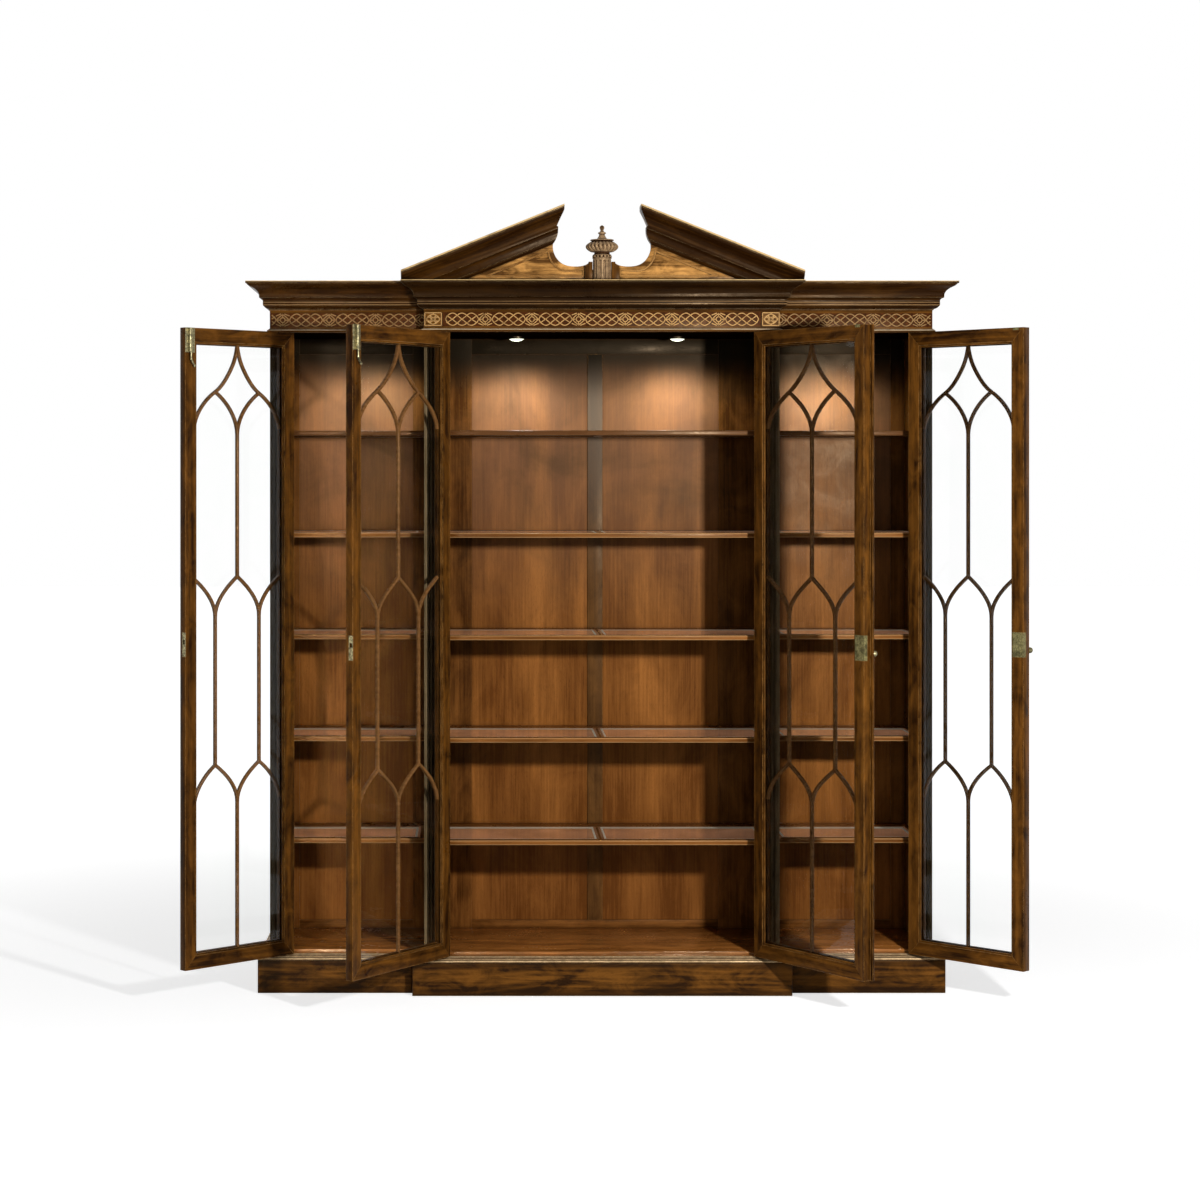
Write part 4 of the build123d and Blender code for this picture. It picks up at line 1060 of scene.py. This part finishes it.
def curve_of(name, lines, place, steps=FRET_STEPS):
    """A curve through lines of points with tangents, each carried to its place."""
    curve = bpy.data.curves.new(name, "CURVE")
    curve.dimensions = "3D"
    curve.resolution_u = steps
    for points, tangents, closed in lines:
        spline = curve.splines.new("BEZIER")
        spline.bezier_points.add(len(points) - 1)
        spline.use_cyclic_u = closed
        for knot, point, way in zip(spline.bezier_points, points, tangents):
            knot.handle_left_type = "FREE"
            knot.handle_right_type = "FREE"
            p = Vector(point)
            w = Vector(way) / 3
            knot.co = place(p)
            knot.handle_left = place(p - w)
            knot.handle_right = place(p + w)
    return curve


def flowing(points, start=None, end=None):
    """A smooth open line through points, with given directions at its ends."""
    points = [Vector(p) for p in points]
    first, last = points[1] - points[0], points[-1] - points[-2]
    if start:
        first = Vector(start).normalized() * first.length
    if end:
        last = Vector(end).normalized() * last.length
    ways = [(after - before) / 2 for before, after in zip(points, points[2:])]
    return points, [first, *ways, last], False


def straight(a, b):
    return flowing([a, b])


def ring_line(radius):
    """A circle round the middle, as four arcs."""
    reach = radius * 4 * (math.sqrt(2) - 1)
    turns = [(math.cos(QUARTER * i), math.sin(QUARTER * i)) for i in range(4)]
    return [Vector(t) * radius for t in turns], [Vector((-s, c)) * reach for c, s in turns], True


# ---- operators ------------------------------------------------------------------------------


class BOOKCASE_OT_boards(bpy.types.Operator):
    """Dress the boards, mouldings and shelves"""

    bl_idname = "bookcase.boards"
    bl_label = "Boards and mouldings"

    def execute(self, context):
        for node in ("side_boards", "partitions"):
            dressed(node, "case", "dark_wood")
        dressed("ceiling_boards", "ceiling", "inner_wood")
        dressed("floor_boards", "floor", "inner_wood")
        dressed("frieze_boards", "frieze", "dark_wood")
        dressed("pilasters", "pilaster", "dark_wood", bevel=0.5 * MM)
        dressed("plinth_boards", "plinth", "dark_wood", bevel=1.5 * MM)
        dressed(
            "cornice_moulding", "moulding", "dark_wood", bevel=0.6 * MM, lift=-0.08,
            other="centre_moulding", chosen=central,
        )
        dressed("pediment_rakes", "raking", "dark_wood", leaning=True, lift=-0.2)
        dressed("tympanum", "veneer", "inner_wood")
        dressed("tympanum_bead", "bead", "carved_wood", bevel=1.0 * MM)
        dressed("base_moulding", "gilt", "carved_wood", bevel=0.4 * MM)
        dressed("frieze_bead", "rail_gilt", "carved_wood", bevel=0.4 * MM)
        dressed("pediment_blocks", "case", "dark_wood")
        for node in ("plinth_bearers", "cornice_covers"):
            dressed(node, "carcass", "plain_wood")
        dressed("back_panels", "back", "inner_wood", bevel=0.0)
        dressed("back_frame", "inside", "inner_wood", other="muntin", chosen=middle_upright)
        for side in ("left", "centre", "right"):
            dressed(f"shelves_{side}", "shelf", "inner_wood", bevel=0.6 * MM)
        self.shelf_panes()
        return {"FINISHED"}

    @staticmethod
    def shelf_panes():
        """The shelf glasses, each with a ground border along its edges."""
        pieces = []
        for i, faces in enumerate(solids_of("shelf_glass")):
            shape = softened(faces, 0.0)
            low, high = extent([v.co for v in shape.verts])
            outer = [(low[k] + SHELF_REBATE, high[k] - SHELF_REBATE) for k in range(2)]
            inner = [(a + start, b - end) for (a, b), (start, end) in zip(outer, PANE_BORDERS)]
            for axis in range(2):
                for place in (*outer[axis], *inner[axis]):
                    point, normal = Vector(), Vector()
                    point[axis] = place
                    normal[axis] = 1.0
                    bmesh.ops.bisect_plane(
                        shape, geom=shape.verts[:] + shape.edges[:] + shape.faces[:],
                        plane_co=point, plane_no=normal,
                    )
            for face in shape.faces:
                middle = face.calc_center_median()
                in_outer, in_inner = (
                    all(a < middle[k] < b for k, (a, b) in enumerate(sides))
                    for sides in (outer, inner)
                )
                face.material_index = int(in_outer and not in_inner)
            mesh = meshed(f"pane_{i}", shape, "shelf_glass", "glass_border")
            pieces.append(linked(f"pane_{i}", mesh))
        panes = joined("shelf_panes", pieces)
        seated(panes, frame["nodes"]["shelf_glass"]["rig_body"], "glass", "shelf_glass")


def door_place(door):
    """Takes a door's own (along, through, up) to the row frame, as it stands at rest."""
    hinge = HINGES[door]
    hand = hinge["axis"][2]
    turn = hand * math.radians(-hinge["range_deg"][0])
    c, s = math.cos(turn), math.sin(turn)
    place = Matrix(((c * -hand, s * -hand, 0.0), (-s, c, 0.0), (0.0, 0.0, 1.0)))
    place = place.transposed().to_4x4()
    place.translation = (*hinge["pos_m"][:2], 0.0)
    return place, turn


def tracery(s0, s1, z0, z1, twin):
    """The lines of a gothic glazed door, between its stiles and rails."""
    middle = (s0 + s1) / 2
    half = (s1 - s0) / 2
    spring = [z1 - drop * MM for drop in (139.0, 696.0, 1262.0)]
    meet = [z - h * MM for z, h in zip(spring, (127.0, 120.0, 116.0))]
    lines = [
        straight((middle, meet[0]), (middle, spring[1])),
        straight((middle, meet[2]), (middle, z0 - BAR_LAP)),
    ]
    for k in HANDS:
        x = middle + k * (half * twin)
        side = middle + k * (half + 2 * MM)
        bend = (middle + k * 0.15 * half, (z1 + spring[0]) / 2)
        lines += [
            flowing([(middle, z1 + BAR_LAP), bend, (x, spring[0])], (k * 0.12, -1), (k, -0.62)),
            flowing([(x, spring[0]), (side, meet[0] + 18 * MM)], (k, -0.62), (k * 0.12, -1)),
            flowing([(x, spring[0]), (middle, meet[0])], (-k, -0.62), (-k * 0.02, -1)),
            flowing([(middle, spring[1]), (x, meet[1])], (k, -0.8), (0, -1)),
            flowing([(side, spring[1] - BAR_LAP), (x, meet[1])], (-k, -0.75), (0, -1)),
            straight((x, meet[1]), (x, spring[2])),
            flowing([(x, spring[2]), (middle, meet[2])], (-k, -0.7), (0, -1)),
            flowing([(x, spring[2]), (side, meet[2])], (k, -0.7), (k * 0.1, -1)),
        ]
    return lines


class BOOKCASE_OT_doors(bpy.types.Operator):
    """Dress the door frames and set the gothic glazing bars and the panes"""

    bl_idname = "bookcase.doors"
    bl_label = "Doors and glazing"

    def execute(self, context):
        sizes = context.scene.bookcase_glazing
        for door in DOORS:
            place, turn = door_place(door)
            dressed(f"{door}_frame", "door", "dark_wood", turn=turn, other="strip")
            finished("pane", f"{door}_glass")
            inverse = place.inverted()
            bars = frame["nodes"][f"{door}_bars"].data
            low, high = extent([inverse @ v.co for v in bars.vertices])
            through = (low.y + high.y) / 2
            curve = curve_of(
                f"{door}_tracery", tracery(low.x, high.x, low.z, high.z, sizes.twin),
                lambda p: place @ Vector((p[0], through, p[1])), BAR_STEPS,
            )
            piece = bars_along(
                f"{door}_glazing_bars", curve, "bars", place.col[1].to_3d(), sizes.width,
                sizes.depth, sizes.rounding,
            )
            seated(piece, door, "dark_wood", f"{door}_bars")
        return {"FINISHED"}


# Strands of the fret, the upper ones first: points in halves of the pitch and of the height, and
# the directions at both ends. Each has its mirror image.
OVALS = (
    ([(-0.70, 0), (-0.39, 1), (0, 0), (0.40, -1), (0.71, 0)], (0.2, 1), (0.2, 1)),
    ([(-0.67, -0.55), (-0.42, 0), (0, 1), (0.42, 0), (0.67, -0.55)], (1, 0.2), (1, -0.2)),
)
# An oval that is cut short by the end of the board.
TIP = (
    ([(-0.71, 0), (-0.64, 0.42), (-0.53, 0.82)], (0.2, 1), (1, 0.9)),
    ([(-0.67, -0.55), (-0.53, -0.2)], None, None),
)


def strands(rows, pitch, reach, hand=1):
    """The lines of each row of strands, with their mirror images."""
    made = []
    for points, *ends in rows:
        made.append([])
        for k in HANDS:
            line = [(x * (hand * pitch / 2), y * k * reach) for x, y in points]
            made[-1].append(flowing(line, *(end and (end[0] * hand, end[1] * k) for end in ends)))
    return made


class BOOKCASE_OT_fret(bpy.types.Operator):
    """Carve the interlaced fret and the corner blocks of the frieze"""

    bl_idname = "bookcase.fret"
    bl_label = "Fret and corner blocks"

    def execute(self, context):
        sizes = context.scene.bookcase_carving
        block_low, block_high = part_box("frieze_blocks")
        bay = block_high.x - BLOCK_WIDTH - BAY_MARGIN
        pitch = 2 * bay / (sizes.repeats_centre - sizes.knot_share)
        first = -bay + (1 - sizes.knot_share) / 2 * pitch
        wing = block_high.x + WING_MARGIN
        count = sizes.repeats_wing
        reach = (FRET_HIGH.z - FRET_LOW.z) / 2 - FRET_MARGIN
        ovals = strands(OVALS, pitch, reach)
        knot = self.knot(pitch, reach, sizes)
        runs = [
            ("ovals", ovals, first, pitch, sizes.repeats_centre, 0.0),
            ("knots", knot, first + pitch / 2, pitch, sizes.repeats_centre - 1, 0.0),
        ]
        for side, hand in (("left", -1), ("right", 1)):
            stride = hand * pitch
            end = hand * wing + stride * (count + 0.5)
            runs += [
                (f"{side}_ovals", ovals, hand * wing + stride / 2, stride, count, FRET_STEP),
                (f"{side}_knots", knot, hand * wing, stride, count + 1, FRET_STEP),
                (f"{side}_tip", strands(TIP, pitch, reach, hand), end, stride, 1, FRET_STEP),
            ]
        pieces = [
            self.carved(f"fret_{name}_{layer}", lines, x, FRIEZE_FACE.y + back, repeats, stride,
                        sizes, layer)
            for name, layers, x, stride, repeats, back in runs
            for layer, lines in enumerate(layers)
        ]
        seated(joined("fret_carving", pieces), "cabinet", "carved_wood", "fretwork")
        self.corner_blocks(block_low, block_high)
        return {"FINISHED"}

    @staticmethod
    def carved(name, lines, x, y, repeats, stride, sizes, layer):
        middle = (FRET_LOW.z + FRET_HIGH.z) / 2
        depth = y - sizes.strand_height / 2 + FRET_SUNK + layer * FRET_RISE
        curve = curve_of(name, lines, lambda p: Vector((x + p[0], depth, middle + p[1])))
        return bars_along(
            name, curve, "fret", FORWARD, sizes.strand_width, sizes.strand_height,
            sizes.strand_width * 0.42, repeats, stride,
        )

    @staticmethod
    def knot(pitch, a, sizes):
        """The ring and the pointed knot between two pairs of ovals."""
        half = 0.235 * pitch / 2
        over = [ring_line(sizes.ring)]
        under = []
        for j in HANDS:
            for i in HANDS:
                bow = [(0, j * half), (i * half * 0.42, j * half * 0.72), (i * half * 1.2, 0)]
                under.append(flowing(bow))
                under.append(straight((i * half * 0.3, j * a), (i * half * 1.25, j * half * 0.75)))
            under.append(straight((0, j * sizes.ring), (0, j * a)))
            over.append(straight((j * sizes.ring, 0), (j * half * 1.3, 0)))
        return over, under

    @staticmethod
    def block_lines(w, h):
        """A frame, a ring, four petals and a line across each corner."""
        lines = [ring_line(4.6 * MM)]
        lines += [straight((-w, j * h), (w, j * h)) for j in HANDS]
        lines += [straight((j * w, -h), (j * w, h)) for j in HANDS]
        petal = [(0.24, 0.0), (0.62, 1.0), (1.0, 0.0), (0.62, -1.0), (0.24, 0.0)]
        for turn in range(4):
            c, s = math.cos(turn * QUARTER), math.sin(turn * QUARTER)
            reach, side = (w, h) if turn % 2 == 0 else (h, w)
            reach, side = 0.78 * reach, 0.62 * side * 0.55
            points = [
                (c * u * reach - s * v * side, s * u * reach + c * v * side) for u, v in petal
            ]
            lines.append(flowing(points, (c - s, s + c), (-c - s, c - s)))
            lines.append(flowing([
                (c * 0.86 * w, s * 0.86 * h),
                ((c - s) * 0.5 * w, (s + c) * 0.5 * h),
                (-s * 0.86 * w, c * 0.86 * h),
            ]))
        return lines

    def corner_blocks(self, low, high):
        """A framed knot of four petals round a ring, on each corner block."""
        pieces = []
        middle = (low.z + high.z) / 2
        for k in (-1, 1):
            x = k * (high.x - BLOCK_WIDTH / 2)
            plate = bmesh.new()
            bmesh.ops.create_cube(plate, size=1.0)
            size = (BLOCK_WIDTH, high.y - low.y - BLOCK_FIELD, high.z - low.z)
            bmesh.ops.scale(plate, vec=size, verts=plate.verts)
            bmesh.ops.translate(
                plate, vec=(x, (low.y + BLOCK_FIELD + high.y) / 2, middle), verts=plate.verts
            )
            bmesh.ops.bevel(plate, geom=plate.edges[:], offset=0.8 * MM, segments=2, affect="EDGES")
            pieces.append(linked(f"block_plate_{k}", meshed(f"block_{k}", plate, "block")))
            lines = self.block_lines(BLOCK_WIDTH / 2 - 2 * MM, (high.z - low.z) / 2 - 2 * MM)
            face = low.y + BLOCK_FIELD - 0.1 * MM
            curve = curve_of(
                f"block_lines_{k}", lines, lambda p: Vector((x + p[0], face, middle + p[1]))
            )
            pieces.append(bars_along(
                f"block_carving_{k}", curve, "fret", FORWARD, 2.8 * MM, 2 * BLOCK_FIELD - 0.2 * MM,
                1.2 * MM,
            ))
        seated(joined("corner_block_carving", pieces), "cabinet", "carved_wood", "frieze_blocks")


def turned(name, rings, centre, lobes, around):
    """A turned form from (height, radius, relief, swirl) rings, its poles closed."""
    shape = bmesh.new()
    loops = []
    for z, r, relief, swirl in rings:
        loop = []
        for i in range(around):
            angle = 2 * math.pi * i / around
            reach = r - relief * (1 - abs(math.cos(lobes * angle / 2 + swirl)))
            x, y = centre.x + reach * math.cos(angle), centre.y + reach * math.sin(angle)
            loop.append(shape.verts.new((x, y, z)))
        loops.append(loop)
    for low, high in zip(loops, loops[1:]):
        for i in range(around):
            j = (i + 1) % around
            shape.faces.new((low[i], low[j], high[j], high[i]))
    shape.faces.new(list(reversed(loops[0])))
    shape.faces.new(loops[-1])
    bmesh.ops.recalc_face_normals(shape, faces=shape.faces)
    for face in shape.faces:
        face.smooth = True
    mesh = meshed(name, shape, "urn")
    mesh.set_sharp_from_angle(angle=math.radians(48))
    return linked(name, mesh)


# The urn's foot and neck as rings of height, radius and relief in millimetres.
URN_FOOT = (
    (0.2, 29.0), (2.0, 30.0), (3.2, 26.0), (9.2, 25.0), (10.4, 28.5), (11.8, 28.8), (12.6, 26.0),
    (17.0, 23.2), (20.5, 25.5),
)
URN_NECK = (
    (55.0, 36.0), (57.2, 36.6), (58.4, 35.0), (59.4, 19.0), (62.0, 15.0), (67.0, 11.4),
    (72.0, 9.2), (75.6, 8.6), (76.4, 11.8), (78.6, 12.4), (80.6, 11.8), (81.6, 8.0), (85.0, 5.2),
    (88.0, 4.6), (91.0, 6.4, 1.2), (95.0, 7.6, 2.2), (99.0, 6.4, 2.0), (101.5, 3.4, 0.6),
    (102.9, 0.9),
)
BOWL_LOW, BOWL_HIGH, BOWL_STEPS = 21.0, 54.0, 22


class BOOKCASE_OT_finial(bpy.types.Operator):
    """Carve the urn with its gadroons and beads on the fluted pedestal"""

    bl_idname = "bookcase.finial"
    bl_label = "Urn finial"

    def execute(self, context):
        sizes = context.scene.bookcase_carving
        shaft_low, shaft_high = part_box("finial_pedestal")
        centre = (shaft_low + shaft_high) / 2
        foot = shaft_high.z
        bowl = []
        for i in range(BOWL_STEPS + 1):
            t = i / BOWL_STEPS
            swell = math.sin(math.pi * min(1.0, t * 0.86 + 0.10)) ** 0.75
            relief = 6.0 * math.sin(math.pi * t) ** 0.5
            z = BOWL_LOW + (BOWL_HIGH - BOWL_LOW) * t
            bowl.append((z, 24.0 + 26.3 * swell, relief, 1.25 * (t - 0.5)))
        rings = [
            (foot + z * MM, r * MM, relief * MM, swirl)
            for z, r, relief, swirl, *_ in ((*ring, 0, 0) for ring in (*URN_FOOT, *bowl, *URN_NECK))
        ]
        body = turned("urn_body", rings, centre, sizes.gadroons, sizes.gadroons * 8)
        values = {
            "Count": sizes.beads,
            "Ring radius": 25.4 * MM,
            "Bead radius": sizes.bead_radius,
            "Centre": (centre.x, centre.y, foot + 6.3 * MM),
            "Material": finish_of("urn"),
        }
        beads = shaped("urn_beads", bpy.data.meshes.new("bead_seed"), ring_tree(), values)
        seated(joined("urn_carving", [body, beads]), "cabinet", "carved_wood", "finial_urn")
        finished("urn", "finial_pedestal")
        return {"FINISHED"}


class BOOKCASE_OT_metalwork(bpy.types.Operator):
    """Finish the hinges, bolts, locks, knobs and keepers"""

    bl_idname = "bookcase.metalwork"
    bl_label = "Brass fittings"

    def execute(self, context):
        finished("hinge", "hinge_leaves_fixed", "hinge_pins", "keepers")
        for node in frame["nodes"]:
            if node.endswith("_leaves"):
                finished("hinge", node)
            elif node in ("door1_brass", "door2_brass") or node.endswith(("_rod", "_knob")):
                finished("brass", node)
            elif node.endswith(("_brass", "_latch")):
                finished("lock", node)
        return {"FINISHED"}


def light(name, kind, place, power, **settings):
    """A lamp in the scene, with its own settings."""
    lamp = bpy.data.lights.new(name, kind)
    lamp.energy = power
    for key, value in settings.items():
        setattr(lamp, key, value)
    holder = linked(name, lamp)
    holder.location = place
    return holder


class BOOKCASE_OT_lamps(bpy.types.Operator):
    """Finish the ceiling lamps and light them"""

    bl_idname = "bookcase.lamps"
    bl_label = "Ceiling lamps"

    def execute(self, context):
        finished("ring", "light_housings")
        finished("lens", "light_lenses")
        low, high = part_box("light_lenses")
        lenses = frame["nodes"]["light_lenses"].data
        across = np.unique([round(v.co.x, 2) for v in lenses.vertices])
        gaps = np.nonzero(np.diff(across) > 0.1)[0] + 1
        for i, lens in enumerate(np.split(across, gaps)):
            light(
                f"ceiling_lamp_{i}", "SPOT",
                ((lens[0] + lens[-1]) / 2, (low.y + high.y) / 2, low.z - LAMP_DROP),
                context.scene.bookcase_stage.lamp_power, spot_size=LAMP_CONE,
                spot_blend=1.0, shadow_soft_size=LAMP_RADIUS, color=LAMP_TINT,
            )
        return {"FINISHED"}


# Soft lights: name, place, target, width and height, share of the key power, spread in degrees.
SOFT_LIGHTS = (
    ("key", (1.32, -3.77, 1.76), (0.0, 0.0, 1.2), (0.16, 0.16), 1.0, 180.0),
    ("fill", (-2.7, -5.5, 1.7), (-0.3, 0.0, 0.9), (2.0, 2.0), 0.3, 180.0),
    ("wing", (-1.35, -3.4, 1.3), (-0.80, 0.0, 1.2), (0.4, 2.2), 0.008, 14.0),
)


class BOOKCASE_OT_stage(bpy.types.Operator):
    """Set the camera, the floor, the sky and the soft lights"""

    bl_idname = "bookcase.stage"
    bl_label = "Stage"

    def execute(self, context):
        stage = context.scene.bookcase_stage
        self.camera(context, stage)
        self.floor()
        self.sky(context, stage)
        for name, place, target, size, share, spread in SOFT_LIGHTS:
            holder = light(
                name, "AREA", place, stage.key_power * share, shape="RECTANGLE", size=size[0],
                size_y=size[1], spread=math.radians(spread),
            )
            away = Vector(target) - Vector(place)
            holder.rotation_euler = away.to_track_quat("-Z", "Y").to_euler()
        context.scene.view_settings.view_transform = "Standard"
        return {"FINISHED"}

    @staticmethod
    def camera(context, stage):
        data = bpy.data.cameras.new("camera")
        data.lens = stage.lens
        data.sensor_width = 36.0
        data.shift_x, data.shift_y = stage.shift
        holder = linked("camera", data)
        holder.location = stage.eye
        holder.rotation_euler = (QUARTER, 0.0, 0.0)
        context.scene.camera = holder

    @staticmethod
    def floor():
        shape = bmesh.new()
        bmesh.ops.create_grid(shape, x_segments=1, y_segments=1, size=FLOOR_HALF)
        mesh = meshed("floor", shape)
        made, tree, shader = material("floor")
        fill(shader, {"Base Color": rgba([0.55] * 3), "Roughness": 0.95})
        away = wire(tree, "ShaderNodeVectorMath", {0: own_place(tree)}, "Value", operation="LENGTH")
        seen = any_ray(tree, "Camera", "Glossy", "Transmission")
        level = seen * between(away, 1.2, 4.5, 0.72, 1.0)
        glow = wire(tree, "ShaderNodeEmission", {"Strength": level})
        ended_by(tree, wire(tree, "ShaderNodeAddShader", {0: Wire(shader.outputs[0]), 1: glow}))
        mesh.materials.append(made)
        floor = linked("floor", mesh)

    @staticmethod
    def sky(context, stage):
        world = bpy.data.worlds.new("studio")
        context.scene.world = world
        world.use_nodes = True
        seen = any_ray(world.node_tree, "Camera", "Glossy", "Transmission")
        level = between(seen, 0.0, 1.0, stage.world_level, 1.0)
        fill(world.node_tree.nodes["Background"], {"Color": WHITE, "Strength": level})


PIECES = (
    BOOKCASE_OT_stage,
    BOOKCASE_OT_boards,
    BOOKCASE_OT_doors,
    BOOKCASE_OT_fret,
    BOOKCASE_OT_finial,
    BOOKCASE_OT_metalwork,
    BOOKCASE_OT_lamps,
)
SETTINGS = {
    "bookcase_woods": BookcaseWoods,
    "bookcase_carving": BookcaseCarving,
    "bookcase_glazing": BookcaseGlazing,
    "bookcase_stage": BookcaseStage,
}


class BOOKCASE_PT_panel(bpy.types.Panel):
    """The operators and their settings in the sidebar"""

    bl_idname = "BOOKCASE_PT_panel"
    bl_label = "Breakfront Bookcase"
    bl_space_type = "VIEW_3D"
    bl_region_type = "UI"
    bl_category = "Bookcase"

    def draw(self, context):
        for operator in PIECES:
            self.layout.operator(operator.bl_idname)
        for name in SETTINGS:
            settings = getattr(context.scene, name)
            box = self.layout.box()
            for key in settings.__annotations__:
                box.prop(settings, key)


def register():
    for kind in (*SETTINGS.values(), *PIECES, BOOKCASE_PT_panel):
        bpy.utils.register_class(kind)
    for name, kind in SETTINGS.items():
        setattr(bpy.types.Scene, name, PointerProperty(type=kind))


def unregister():
    for name in SETTINGS:
        delattr(bpy.types.Scene, name)
    for kind in (BOOKCASE_PT_panel, *reversed(PIECES), *reversed(SETTINGS.values())):
        bpy.utils.unregister_class(kind)


def main():
    register()
    for operator in PIECES:
        name = operator.bl_idname.split(".")[1]
        getattr(bpy.ops.bookcase, name)()


if __name__ == "__main__":
    main()
